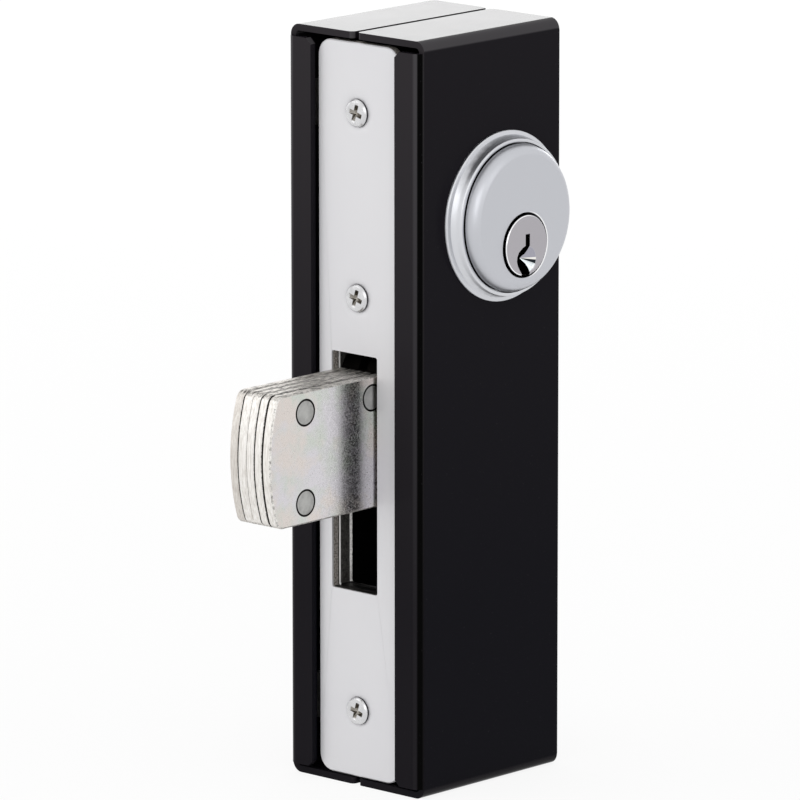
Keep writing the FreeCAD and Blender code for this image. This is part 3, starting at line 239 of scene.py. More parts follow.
def scaled(colour, times):
    """A lighter or darker shade of a colour."""
    return tuple(min(1.0, times * c) for c in colour)


def set_look(tree, shader, tone, rough):
    tree.links.new(tone, shader.inputs["Base Color"])
    tree.links.new(rough, shader.inputs["Roughness"])


def relief(tree, shader, height, strength, depth, under=None):
    """Bumps of a depth in mm. They lie on the relief that under gives."""
    bump = add(tree, "ShaderNodeBump")
    tree.links.new(height, bump.inputs["Height"])
    bump.inputs["Strength"].default_value = strength
    bump.inputs["Distance"].default_value = depth * MM
    if under is not None:
        tree.links.new(under, bump.inputs["Normal"])
    tree.links.new(bump.outputs["Normal"], shader.inputs["Normal"])
    return bump.outputs["Normal"]


def leaned(tree, shader, height):
    """Make the shading lean as if the surface had this height in mm. The mesh stays as it is."""
    return relief(tree, shader, height, strength=1.0, depth=1.0)


# %% Masks, which are 1 where a colour goes and 0 elsewhere
def rising(tree, value, start=0.3, end=0.7):
    return spread(tree, value, 0.0, 1.0, start, end)


def falling(tree, value, start, end):
    return spread(tree, value, 1.0, 0.0, start, end)


def both(tree, first, second):
    return worked(tree, "MULTIPLY", first, second)


def without(tree, mask, removed):
    return worked(tree, "SUBTRACT", mask, removed)


def largest(tree, values):
    top = values[0]
    for value in values[1:]:
        top = worked(tree, "MAXIMUM", top, value)
    return top


# %% Masks by place
def part_of(tree, where, axis):
    """One number, X, Y or Z, of a vector."""
    parts = add(tree, "ShaderNodeSeparateXYZ")
    tree.links.new(where, parts.inputs[0])
    return parts.outputs[axis]


def past(tree, here, axis, start, end):
    """1 past a level of X, Y or Z."""
    return rising(tree, part_of(tree, here, axis), start, end)


def before(tree, here, axis, start, end):
    """1 up to a level of X, Y or Z."""
    return falling(tree, part_of(tree, here, axis), start, end)


def turned_to(tree, axis, start=0.80, end=0.97):
    """1 where the surface faces along the axis, either way."""
    source = add(tree, "ShaderNodeTexCoord")
    along = part_of(tree, source.outputs["Normal"], axis)
    return rising(tree, worked(tree, "ABSOLUTE", along), start, end)


def distance_from(tree, where, centre, axis):
    """Distance from a line along the axis through the centre."""
    flat = tuple(0.0 if name == axis else 1.0 for name in "XYZ")
    shift = add(tree, "ShaderNodeVectorMath", operation="SUBTRACT")
    tree.links.new(where, shift.inputs[0])
    shift.inputs[1].default_value = tuple(centre)
    level = add(tree, "ShaderNodeVectorMath", operation="MULTIPLY")
    tree.links.new(shift.outputs[0], level.inputs[0])
    level.inputs[1].default_value = flat
    size = add(tree, "ShaderNodeVectorMath", operation="LENGTH")
    tree.links.new(level.outputs[0], size.inputs[0])
    return size.outputs["Value"]


# %% Give a finish to pieces
def dress(names, material):
    for name in names:
        piece = nodes[name]
        piece.data.materials.clear()
        piece.data.materials.append(material)
    print(material.name, "on", ", ".join(names))


# %% [markdown]
# ## The black box
# The box is sheet steel under a thick gloss paint. Such paint is black all through, so nearly
# all that shows is what it mirrors. The top, seen at a low angle, mirrors a bright softbox almost
# as metal would. The sides mirror the dim room, and towards their foot they get a deeper black,
# which is painted shade. The front flanges and the back get a painted sheen towards their top.
# Where the sheet is bent, a pale line is painted on the round as a highlight, and an upright bend
# at the right also has a dark middle, painted as a reflection. More lamps could draw these, but
# they would light all the rest too, so masks by height and direction paint them.
#
# Paint that is baked on has a slight orange peel, which a soft noise in the relief gives. Years
# of handling leave hair scratches, which lift the roughness, and specks of dust.

# %% The paint's colours
# The haze up the front and back is a painted sheen, the deep black at the sides' foot is painted
# shade, and the bends get a painted highlight and a painted dark reflection.
BLACK, SHADED_BLACK = (0.0100, 0.0088, 0.0112), (0.0047, 0.0044, 0.0068)
PAINTED_SHEEN, DUSTY = (0.028, 0.025, 0.028), (0.030, 0.028, 0.032)
BEND_HIGHLIGHT_AT_FOOT, BEND_HIGHLIGHT_AT_TOP = (0.015, 0.0135, 0.016), (0.055, 0.052, 0.056)
BEND_DARK_REFLECTION = (0.0005, 0.0005, 0.0005)
RIGHT_BENDS_FROM = cad_low.x + 30 * MM


def flat_paint_with_shading(tree, height):
    """Black, with a painted sheen up the front and back and painted shade down the sides."""
    front = tint(tree, height, BLACK, PAINTED_SHEEN)
    side = tint(tree, height, SHADED_BLACK, BLACK)
    tone = tint(tree, turned_to(tree, "Y", 0.5, 0.9), BLACK, front)
    return tint(tree, turned_to(tree, "X"), tone, side)


def painted_bend_light(tree, here, height):
    """Painted highlights on the bends, with a painted dark reflection on the right upright ones."""
    pale = tint(tree, height, BEND_HIGHLIGHT_AT_FOOT, BEND_HIGHLIGHT_AT_TOP)
    half_turned = without(tree, turned_to(tree, "X", 0.52, 0.62),
                          turned_to(tree, "X", 0.88, 0.93))
    upright = without(tree, half_turned, turned_to(tree, "Z", 0.1, 0.3))
    right = past(tree, here, "X", RIGHT_BENDS_FROM, RIGHT_BENDS_FROM + 2 * MM)
    return tint(tree, both(tree, upright, right), pale, BEND_DARK_REFLECTION)


# %% Black gloss paint
PAINT_IOR = 1.10


def box_paint():
    material, tree, shader = new_finish("black gloss paint", BLACK, roughness=0.14, metallic=0.0)
    shader.inputs["IOR"].default_value = PAINT_IOR
    here = coordinates(tree)
    height = past(tree, here, "Z", -0.5 * cad_high.z, cad_high.z)
    flat = largest(tree, [turned_to(tree, "X", 0.975, 0.999), turned_to(tree, "Y", 0.955, 0.995),
                          turned_to(tree, "Z", 0.955, 0.995)])
    tone = tint(tree, flat, painted_bend_light(tree, here, height), flat_paint_with_shading(tree, height))
    specks = rising(tree, noise(tree, here, 2600.0, detail=2.0), 0.70, 0.80)
    tone = tint(tree, specks, tone, DUSTY)
    hair = noise(tree, coordinates(tree, stretch=(1.0, 0.05, 1.0), turn=(0.4, 0.2, 0.0)), 1500.0)
    rough = worked(tree, "ADD", spread(tree, noise(tree, here, 45.0, detail=4.0), 0.11, 0.18),
                   spread(tree, hair, 0.0, 0.08, 0.66, 0.72))
    set_look(tree, shader, tone, rough)
    relief(tree, shader, noise(tree, here, 520.0, detail=1.0), strength=0.08, depth=0.02)
    return material


dress(["box_shell"], box_paint())
soften("box_shell", 0.70, segments=4)


# %% [markdown]
# ## The faceplate
# The faceplate is rolled metal with a fine satin grain along its length. The grain could be cut
# in the mesh, but it is far finer than a pixel, so it is a noise that is stretched along Z and
# drives both the relief and the roughness. Round each screw the plate is pressed in a shallow
# dimple, which the frame already has. The walls of the slot were sheared, so they are torn and
# grey. They are told from the face by their depth along Y, and they are black on the two sills
# and in the seam behind the plate, where no light comes.

# %% The slot's walls
SHEARED_DARK, SHEARED_LIGHT = (0.15, 0.13, 0.115), (0.66, 0.61, 0.57)
UNLIT = (0.010, 0.009, 0.008)


def sheared_wall(tree, here):
    torn = rising(tree, noise(tree, here, 2600.0, detail=4.0, rough=0.7), 0.40, 0.62)
    tone = tint(tree, torn, SHEARED_DARK, SHEARED_LIGHT)
    off_centre = worked(tree, "ABSOLUTE", part_of(tree, here, "Z"))
    sill = both(tree, turned_to(tree, "Z", 0.6, 0.8),
                falling(tree, off_centre, 0.70 * cad_high.z, 0.75 * cad_high.z))
    seam = past(tree, here, "Y", face_back_y - 0.35 * MM, face_back_y - 0.25 * MM)
    return tint(tree, largest(tree, [sill, seam]), tone, UNLIT)


# %% Satin plate
SATIN, SATIN_DARK, SATIN_LIGHT = (0.70, 0.69, 0.71), (0.695, 0.69, 0.71), (0.715, 0.71, 0.725)
SATIN_METAL, WALL_METAL = 0.35, 0.2


def satin_plate():
    material, tree, shader = new_finish("satin plate", SATIN, roughness=0.46, metallic=SATIN_METAL)
    here = coordinates(tree)
    grain = noise(tree, coordinates(tree, stretch=(1.0, 1.0, 0.02)), 5200.0, detail=3.0)
    flat = tint(tree, rising(tree, noise(tree, here, 30.0, detail=3.0)), SATIN_DARK, SATIN_LIGHT)
    wall = past(tree, here, "Y", face_y + 0.45 * MM, face_y + 0.60 * MM)
    tone = tint(tree, wall, flat, sheared_wall(tree, here))
    set_look(tree, shader, tone, spread(tree, grain, 0.44, 0.50))
    tree.links.new(either(tree, wall, SATIN_METAL, WALL_METAL), shader.inputs["Metallic"])
    relief(tree, shader, grain, strength=0.05, depth=0.004)
    return material


dress(["faceplate"], satin_plate())
soften("faceplate", 0.14, segments=3)


# %% [markdown]
# ## The armour plate and the tabs
# Behind the faceplate is a hard plate that was hot-dipped in oil, so it is almost black. Small
# light points, which a cell texture picks out, are painted as the glitter of its scale, and a
# noise breaks up the black. A thin bright line painted along its front, in the slot, stands for
# the highlight on the plate's edge. The slot's sills are in the dark.

# %% Oiled hard steel
OILED_DARK, OILED_LIGHT = (0.022, 0.020, 0.018), (0.30, 0.29, 0.27)
SCALE_DARK, SCALE_LIGHT = (0.11, 0.105, 0.10), (0.33, 0.32, 0.31)
# a bright line, painted as the highlight on the plate's front edge
EDGE_HIGHLIGHT = (0.93, 0.92, 0.90)
PITCH_DARK = (0.004, 0.004, 0.004)


def oiled_steel(name, dark, light, highlight_to=None):
    """Steel with scale. Up to a level along Y it gets a painted highlight, and painted shade on the
    sills.
    """
    material, tree, shader = new_finish(name, dark, roughness=0.45, metallic=0.3)
    here = coordinates(tree)
    cloud = noise(tree, here, 700.0, detail=5.0, rough=0.7)
    # The light points are painted glints of the scale.
    points = spread(tree, cells(tree, here, 2400.0).outputs["Distance"], 0.95, 0.0, 0.10, 0.34)
    tone = tint(tree, largest(tree, [spread(tree, cloud, 0.0, 0.4), points]), dark, light)
    if highlight_to is not None:
        edge_line = before(tree, here, "Y", highlight_to, highlight_to + 0.10 * MM)
        tone = tint(tree, edge_line, tone, EDGE_HIGHLIGHT)
        tone = tint(tree, turned_to(tree, "Z", 0.5, 0.7), tone, PITCH_DARK)
    set_look(tree, shader, tone, spread(tree, cloud, 0.34, 0.55))
    relief(tree, shader, cloud, strength=0.35, depth=0.03)
    return material


dress(["armour_plate"],
      oiled_steel("oiled hard plate", OILED_DARK, OILED_LIGHT, face_back_y + 0.55 * MM))
dress(["upper_weld_tab", "lower_weld_tab"],
      oiled_steel("mill scale", SCALE_DARK, SCALE_LIGHT))
for name in ("armour_plate", "upper_weld_tab", "lower_weld_tab"):
    soften(name, 0.15)


# %% [markdown]
# ## The bolt's plates
# The bolt is five plates of pressed steel, plated with zinc and riveted side by side. The outer
# face is bright and mirrors the box's front in a dark band. Where that band lies depends on how
# the face leans, and pressed plates lean a little, so the shading has a gentle slope along Y
# under its fine relief, and the mesh stays as it is. A passivated coat gives the face a faint
# green and pink bloom.
#
# The plates' edges were sheared and ground, so they are duller, with fine marks across them and
# brown stains in the joints. One material does both, because the texture coordinates also give
# the surface's own direction: where it faces along X it is a plate's face, and elsewhere an edge.

# %% Dark joints between the plates
GRIME = (0.012, 0.011, 0.010)
JOINT_WIDTHS = (0.17, 0.05, 0.20, 0.30)     # in mm, from left to right


def rivet_rings(tree, here):
    """1 in the grooves round the rivets' ends."""
    rings = []
    for rivet in rivets:
        off = distance_from(tree, here, rivet, "X")
        rings.append(both(tree, rising(tree, off, rivet_r - 0.14 * MM, rivet_r - 0.06 * MM),
                          falling(tree, off, rivet_r + 0.34 * MM, rivet_r + 0.42 * MM)))
    return largest(tree, rings)


def off_joint(tree, here, joint):
    return worked(tree, "ABSOLUTE", worked(tree, "SUBTRACT", part_of(tree, here, "X"), joint))


def joint_lines(tree, here):
    """1 in the dark joints. A noise makes their sides ragged."""
    ragged = worked(tree, "SUBTRACT", noise(tree, here, 1300.0, detail=5.0, rough=0.75), 0.5)
    lines = []
    for joint, width in zip(joints_x, JOINT_WIDTHS):
        off = worked(tree, "ADD", off_joint(tree, here, joint),
                     worked(tree, "MULTIPLY", ragged, 1.3 * width * MM))
        lines.append(falling(tree, off, 0.75 * width * MM, 1.2 * width * MM))
    return largest(tree, lines)


def near_joints(tree, here):
    """1 at a joint, 0 a little way from it."""
    return largest(tree, [falling(tree, off_joint(tree, here, joint), 0.10 * MM, 0.95 * MM)
                          for joint in joints_x])


# %% The plates' faces
LILAC, GREENISH = (0.680, 0.660, 0.692), (0.605, 0.640, 0.585)
PINKISH, GREY_SPECK = (0.710, 0.655, 0.620), (0.30, 0.29, 0.28)


def plate_face(tree, here):
    """Bright plated face: lilac, with greenish and pink clouds and fine grey specks."""
    green = noise(tree, here, 85.0, detail=5.0, rough=0.6)
    pink = noise(tree, coordinates(tree, centre=(0.01, 0.02, 0.03)), 110.0, detail=5.0, rough=0.6)
    tone = tint(tree, rising(tree, green, 0.43, 0.58), LILAC, GREENISH)
    tone = tint(tree, rising(tree, pink, 0.49, 0.64), tone, PINKISH)
    specks = spread(tree, noise(tree, here, 3000.0, detail=3.0, rough=0.7), 0.0, 0.6, 0.60, 0.72)
    return tint(tree, specks, tone, GREY_SPECK)


# %% The plates' edges
LEFT_NOSE_DARK, LEFT_NOSE_LIGHT = (0.58, 0.54, 0.50), (0.76, 0.73, 0.69)
NOSE_DARK, NOSE_LIGHT = (0.70, 0.67, 0.63), (0.92, 0.90, 0.87)
STAIN, CREAM = (0.030, 0.026, 0.020), (0.76, 0.73, 0.69)


def plate_edge(tree, here):
    """Sheared edges: creamy at the nose, duller on the leftmost plate, brown along the top."""
    fibres = noise(tree, coordinates(tree, stretch=(1.0, 0.14, 1.0)), 3000.0, detail=4.0, rough=0.7)
    stained = worked(tree, "MULTIPLY", near_joints(tree, here), 0.13)
    fibres = worked(tree, "SUBTRACT", fibres, stained)
    top = tint(tree, rising(tree, fibres, 0.36, 0.54), STAIN, CREAM)
    others = past(tree, here, "X", joints_x[0], joints_x[0] + 0.1 * MM)
    shorn = noise(tree, coordinates(tree, stretch=(1.0, 1.0, 0.10)), 2400.0, detail=4.0, rough=0.65)
    nose = tint(tree, rising(tree, shorn, 0.36, 0.60),
                tint(tree, others, LEFT_NOSE_DARK, NOSE_DARK),
                tint(tree, others, LEFT_NOSE_LIGHT, NOSE_LIGHT))
    return tint(tree, turned_to(tree, "Z", 0.55, 0.85), nose, top)


def chipped_rim(tree, here):
    """Dark chips along the rim of the outer plate's face."""
    rim = without(tree, turned_to(tree, "X", 0.35, 0.50), turned_to(tree, "X", 0.80, 0.92))
    chips = spread(tree, noise(tree, here, 1000.0, detail=6.0, rough=0.75), 0.0, 0.6, 0.46, 0.62)
    outer = past(tree, here, "X", joints_x[-1] + 1.0 * MM, joints_x[-1] + 1.1 * MM)
    return both(tree, rim, both(tree, chips, outer))


# %% Zinc plating
ZINC = (0.70, 0.69, 0.67)
FACE_SLOPE = 0.105                          # rise for each mm along Y, in the shading alone
# Near-black inside the slot: partly grease, and partly painted shade where the walls keep light
# out.
GREASE_AND_SHADE, GREASE_ROUGHNESS = (0.004, 0.0035, 0.003), 0.75
GREASE_SHADE_START, GREASE_SHADE_FULL = face_y + 1.6 * MM, face_y + 2.3 * MM


def zinc():
    material, tree, shader = new_finish("bright zinc", ZINC, roughness=0.22)
    here = coordinates(tree)
    face = turned_to(tree, "X")
    tone = tint(tree, face, plate_edge(tree, here), plate_face(tree, here))
    grime = largest(tree, [joint_lines(tree, here), rivet_rings(tree, here),
                           chipped_rim(tree, here)])
    tone = tint(tree, grime, tone, GRIME)
    grease_and_shade = past(tree, here, "Y", GREASE_SHADE_START, GREASE_SHADE_FULL)
    tone = tint(tree, grease_and_shade, tone, GREASE_AND_SHADE)
    grit = noise(tree, here, 2800.0, detail=4.0, rough=0.7)
    polished = spread(tree, grit, 0.15, 0.34, 0.35, 0.65)
    sheared = spread(tree, grit, 0.42, 0.60, 0.35, 0.65)
    clean = either(tree, face, sheared, polished)
    set_look(tree, shader, tone, either(tree, grease_and_shade, clean, GREASE_ROUGHNESS))
    slope = worked(tree, "MULTIPLY", part_of(tree, here, "Y"), FACE_SLOPE / MM)
    leant = leaned(tree, shader, slope)
    relief(tree, shader, grit, strength=0.24, depth=0.02, under=leant)
    return material


dress(plates, zinc())
for name in plates:
    soften(name, 0.16)


# %% [markdown]
# ## The rivets
# The rivets are peened flush and then ground with the face, so each is a disc with a thin dark
# gap round it. Their ends are duller than the plate and carry small hammer marks.

# %% Peened rivet ends
PEENED = (0.50, 0.50, 0.485)


def peened(name, colour):
    material, tree, shader = new_finish(name, colour, roughness=0.34)
    here = coordinates(tree)
    dents = noise(tree, here, 1100.0, detail=4.0, rough=0.65)
    tone = tint(tree, spread(tree, dents, 0.0, 0.5), colour, scaled(colour, 0.62))
    off = [distance_from(tree, here, rivet, "X") for rivet in rivets]
    struck = largest(tree, [spread(tree, one, 0.45, 0.0, start=0.1 * rivet_r, end=0.75 * rivet_r)
                            for one in off])
    tone = tint(tree, struck, tone, scaled(colour, 1.30))
    tone = tint(tree, rivet_rings(tree, here), tone, GRIME)
    set_look(tree, shader, tone, spread(tree, dents, 0.26, 0.44))
    relief(tree, shader, dents, strength=0.25, depth=0.05)
    return material


dress(["bolt_rivets"], peened("peened zinc", PEENED))
soften("bolt_rivets", 0.12)


# %% [markdown]
# ## The cylinder, its collar and its plug
# These are turned on a lathe, plated with chrome and left satin. A lathe leaves rings round its
# axis, so the relief is a ring texture that is centred on the axis from the frame. The rings are
# too fine to count, but they stretch each highlight across them, and that is what makes turned
# metal look turned. Chrome also shows sharp contrasts at its edges: the gap round the plug and
# the head's foot are dark, which is painted shade, and the rims glint, which is a painted
# highlight. Each of these is a mask with its own colour.

# %% Satin chrome with a lathe's rings
def turned(name, colour, rough, axis, marks, lean=None):
    """marks is a list of masks with the colour that each gives, lean a slope under the rings."""
    material, tree, shader = new_finish(name, colour, rough)
    here = coordinates(tree)
    cloud = noise(tree, here, 60.0, detail=3.0)
    tone = tint(tree, rising(tree, cloud), scaled(colour, 0.985), scaled(colour, 1.015))
    for mask, mark in marks:
        tone = tint(tree, mask(tree, here), tone, mark)
    set_look(tree, shader, tone, spread(tree, cloud, rough * 0.92, rough * 1.08))
    leant = None if lean is None else leaned(tree, shader, lean(tree, here))
    rings = noise(tree, distance_from(tree, here, axis, "X"), 5000.0, detail=2.0)
    relief(tree, shader, rings, strength=0.04, depth=0.002, under=leant)
    return material


# %% The head, with the gap round the plug
# The first colour is painted shade for the gaps, and the second a painted highlight for the rims.
SHADE_BLACK, GLINT = (0.006, 0.005, 0.005), (0.97, 0.97, 0.98)
HEAD_CHROME = (0.575, 0.585, 0.62)
plug_low, plug_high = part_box("cylinder_plug")
plug_r = (plug_high.z - plug_low.z) / 2
collar_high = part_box("collar_ring")[1]
collar_r = collar_high.z - head_axis.z


def mouth_gap(tree, here):
    """The ring-shaped gap between the cylinder and its plug."""
    off = distance_from(tree, here, plug_axis, "X")
    return falling(tree, off, plug_r + 0.56 * MM, plug_r + 0.60 * MM)


def mouth_edge(tree, here):
    """The mouth's rounded edge, on the side away from the faceplate."""
    off = distance_from(tree, here, plug_axis, "X")
    edge = both(tree, rising(tree, off, plug_r + 0.48 * MM, plug_r + 0.52 * MM),
                falling(tree, off, plug_r + 0.80 * MM, plug_r + 0.95 * MM))
    return both(tree, edge, past(tree, here, "Y", plug_axis.y + 1 * MM, plug_axis.y + 4 * MM))


def head_foot(tree, here):
    """The head's foot, where it goes down in the collar."""
    return before(tree, here, "X", collar_high.x + 0.10 * MM, collar_high.x + 0.30 * MM)


# The gap and the head's foot get painted shade, and the mouth's edge a painted highlight.
head_marks = [(mouth_gap, SHADE_BLACK), (head_foot, SHADE_BLACK), (mouth_edge, GLINT)]
dress(["cylinder_shell"],
      turned("satin chrome", HEAD_CHROME, rough=0.40, axis=head_axis, marks=head_marks))
soften("cylinder_shell", 0.16)
print("plug radius:", round(plug_r / MM, 2), "collar radius:", round(collar_r / MM, 2))


# %% [markdown]
# ## The collar's hollow
# The collar's hollow is shallower on the real ring than in the frame, and so its wall mirrors
# the bright room on the lower and middle parts. The mesh stays as it is. As on the bolt's face,
# a slope in the shading turns the wall towards the room, and it fades out near the top. A lighter
# colour on that wall is a painted highlight.

# %% The collar
# The second colour is a painted highlight on the hollow's wall.
COLLAR_CHROME, HOLLOW_HIGHLIGHT = (0.64, 0.65, 0.68), (0.68, 0.69, 0.72)
HOLLOW_SLOPE = 0.40                         # rise for each mm along X, in the shading alone


def hollow_part(tree, here):
    """1 on the collar's lower and middle parts, 0 near its top."""
    return before(tree, here, "Z", head_axis.z + 6 * MM, head_axis.z + 14 * MM)


def hollow_wall(tree, here):
    """The collar's walls, which get a lighter colour as a painted highlight."""
    off = distance_from(tree, here, head_axis, "X")
    wall = falling(tree, off, collar_r - 1.2 * MM, collar_r - 1.0 * MM)
    return both(tree, wall, hollow_part(tree, here))


def hollow_lean(tree, here):
    """The slope that turns the hollow's wall outwards."""
    along = worked(tree, "SUBTRACT", part_of(tree, here, "X"), head_axis.x)
    return worked(tree, "MULTIPLY", worked(tree, "MULTIPLY", along, -HOLLOW_SLOPE / MM),
                  hollow_part(tree, here))


dress(["collar_ring"],
      turned("collar chrome", COLLAR_CHROME, rough=0.37, axis=head_axis,
             marks=[(hollow_wall, HOLLOW_HIGHLIGHT)], lean=hollow_lean))
soften("collar_ring", 0.10)


# %% [markdown]
# ## The plug and its key seat
# The plug's face is smoother than the head's and a little darker. The key slot's walls are
# painted black as shade, and below the slot is a countersunk seat that leads the key in. A cone
# mirrors the room in sectors, so the seat is told by its slope, and lines that leave its centre
# part a black, a bright and a grey sector, which are painted reflections. The seat's pale base
# and its dark streaks are painted reflections too, and the streaks follow the cone's own direction.

# %% The key slot and its seat
PLUG_CHROME = (0.43, 0.415, 0.44)
# The seat's colours are painted reflections: a pale base, dark streaks and three sectors.
SEAT_REFLECTED_ROOM, SEAT_DARK_REFLECTION = (0.78, 0.83, 0.85), (0.30, 0.33, 0.35)
SEAT_REFLECTED_SECTORS = [(-0.50, (0.02, 0.025, 0.03)), (-0.16, (0.90, 0.88, 0.84)),
                (0.04, (0.38, 0.375, 0.43))]
seat_y, seat_z = plug_axis.y + 0.2 * MM, plug_axis.z - 3.3 * MM


def plug_walls(tree, here):
    """The key slot's walls and the plug's side, a little way below its face, in painted shade."""
    deep = before(tree, here, "X", plug_high.x - 0.40 * MM, plug_high.x - 0.25 * MM)
    return without(tree, deep, turned_to(tree, "X", 0.35, 0.60))


def plug_rim(tree, here):
    """The rounded rim of the plug's face."""
    off = distance_from(tree, here, plug_axis, "X")
    return both(tree, rising(tree, off, plug_r - 0.22 * MM, plug_r - 0.16 * MM),
                past(tree, here, "X", plug_high.x - 0.25 * MM, plug_high.x - 0.20 * MM))


def key_seat(tree, here):
    """The countersunk cone that leads the key in."""
    cone = both(tree, turned_to(tree, "X", 0.30, 0.45),
                without(tree, 1.0, turned_to(tree, "X", 0.90, 0.97)))
    return both(tree, cone,
                before(tree, here, "X", plug_high.x - 0.20 * MM, plug_high.x - 0.12 * MM))


def seat_reflected_streaks(tree, here):
    """Dark streaks that run down the key seat, painted as reflections."""
    source = add(tree, "ShaderNodeTexCoord")
    streaks = noise(tree, source.outputs["Normal"], 5.5, detail=3.0, rough=0.6)
    return both(tree, key_seat(tree, here), rising(tree, streaks, 0.50, 0.56))


def seat_above(slope):
    """The part of the key seat above a line that leaves its centre at this slope."""
    def mask(tree, here):
        across = worked(tree, "SUBTRACT", part_of(tree, here, "Y"), seat_y)
        rise = worked(tree, "SUBTRACT", part_of(tree, here, "Z"), seat_z)
        steep = worked(tree, "DIVIDE", rise, worked(tree, "MAXIMUM", across, 0.05 * MM))
        return both(tree, key_seat(tree, here), rising(tree, steep, slope - 0.02, slope + 0.02))
    return mask


# %% The plug
# The key slot's walls get painted shade, and the plug's rim a painted highlight.
plug_marks = [(key_seat, SEAT_REFLECTED_ROOM), (seat_reflected_streaks, SEAT_DARK_REFLECTION)]
plug_marks += [(seat_above(slope), tone) for slope, tone in SEAT_REFLECTED_SECTORS]
plug_marks += [(plug_walls, SHADE_BLACK), (plug_rim, GLINT)]
dress(["cylinder_plug"],
      turned("plug chrome", PLUG_CHROME, rough=0.20, axis=plug_axis, marks=plug_marks))
soften("cylinder_plug", 0.14)


# %% [markdown]
# ## The screws
# The screws are zinc plated like the bolt, but a driver has bitten in their crosses, so those
# have a warm, greenish cast and are darker, partly from that wear and partly from painted shade in
# the recess. A cross is told from the rest of its head by two masks: it lies near the screw's axis,
# and below the head's flat face, along Y. The head's side is below that face too, and it gets
# painted shade where it sinks in the dimple.

# %% Screw heads with worn crosses
heads = ["upper_mount_screw", "centre_screw", "lower_mount_screw"]
head_front_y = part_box(heads[0])[0].y
CROSS_R = 2.20 * MM
PLATED, PLATED_DARK, PLATED_LIGHT = (0.66, 0.66, 0.66), (0.62, 0.62, 0.63), (0.70, 0.70, 0.71)
# The side's dark colour is painted shade; the crosses' colours are wear and painted shade.
SIDE_SHADE = (0.05, 0.05, 0.055)
WORN_SHADED_DARK, WORN_SHADED_LIGHT = (0.16, 0.145, 0.12), (0.40, 0.38, 0.35)


def screw_metal():
    material, tree, shader = new_finish("screw zinc", PLATED, roughness=0.24)
    here = coordinates(tree)
    cloud = noise(tree, here, 900.0, detail=4.0)
    plain = tint(tree, rising(tree, cloud), PLATED_DARK, PLATED_LIGHT)
    side = past(tree, here, "Y", head_front_y + 0.45 * MM, head_front_y + 0.60 * MM)
    plain = tint(tree, side, plain, SIDE_SHADE)
    worn_and_shaded = tint(tree, rising(tree, cloud), WORN_SHADED_DARK, WORN_SHADED_LIGHT)
    near = largest(tree, [falling(tree, distance_from(tree, here, middle(name), "Y"),
                                  CROSS_R, CROSS_R + 0.10 * MM) for name in heads])
    deep = past(tree, here, "Y", head_front_y + 0.10 * MM, head_front_y + 0.35 * MM)
    tone = tint(tree, both(tree, near, deep), plain, worn_and_shaded)
    set_look(tree, shader, tone, spread(tree, cloud, 0.20, 0.32))
    relief(tree, shader, cloud, strength=0.12, depth=0.02)
    return material


dress(heads + ["armour_screws", "cover_screws", "cylinder_set_screw", "cam_screws"],
      screw_metal())
for name in heads:
    soften(name, 0.10)


# %% [markdown]
# ## The works inside
# The pieces in the case are seldom seen, but a view through the slot or with the bolt in reaches
# them. The case is galvanised, with the crystals that zinc grows as it cools. Its front edge, in
# the slot, is painted as a fold: first a dark gap, which is painted shade, then a bright rolled lip
# with a ragged back, which is a painted highlight, and inside it is painted black as shade. The lip
# is shading once more, a slope that turns the flat edge towards the light. The lever and cam are
# plain ground steel; the pins and spacers are brass.

# %% The case's front edge, painted as a fold
LIP_SLOPE = 1.7                             # rise for each mm along Y, in the shading alone
# The gap's colours are painted shade, and the lip's colours a painted highlight.
GAP_SHADE_DARK, GAP_SHADE_LIGHT = (0.02, 0.02, 0.018), (0.16, 0.155, 0.145)
LIP_HIGHLIGHT_DARK, LIP_HIGHLIGHT_LIGHT = (0.38, 0.37, 0.355), (0.80, 0.79, 0.77)
case_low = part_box("case_body")[0]


def case_front(tree, here):
    """1 on the case's front edge. A noise makes its back ragged."""
    ragged = worked(tree, "SUBTRACT", noise(tree, here, 1500.0, detail=4.0, rough=0.7), 0.5)
    depth = worked(tree, "ADD", part_of(tree, here, "Y"),
                   worked(tree, "MULTIPLY", ragged, 0.9 * MM))
    return falling(tree, depth, case_low.y + 1.5 * MM, case_low.y + 1.7 * MM)


def edge_colours(tree, here, tone, front, lip_highlight):
    """Painted shade in a gap, a painted highlight on a lip, and black painted shade inside and on
    the sills.
    """
    grit = rising(tree, noise(tree, here, 2600.0, detail=4.0, rough=0.7), 0.34, 0.50)
    tone = tint(tree, front, tone, tint(tree, grit, GAP_SHADE_DARK, GAP_SHADE_LIGHT))
    tone = tint(tree, lip_highlight, tone, tint(tree, grit, LIP_HIGHLIGHT_DARK, LIP_HIGHLIGHT_LIGHT))
    inside = past(tree, here, "X", case_low.x + 0.8 * MM, case_low.x + 1.0 * MM)
    sill = both(tree, turned_to(tree, "Z", 0.5, 0.7), front)
    return tint(tree, largest(tree, [without(tree, inside, front), sill]), tone, PITCH_DARK)


# %% Galvanised case
SHEET, SHEET_DARK, SHEET_LIGHT = (0.42, 0.42, 0.41), (0.34, 0.34, 0.335), (0.50, 0.50, 0.49)


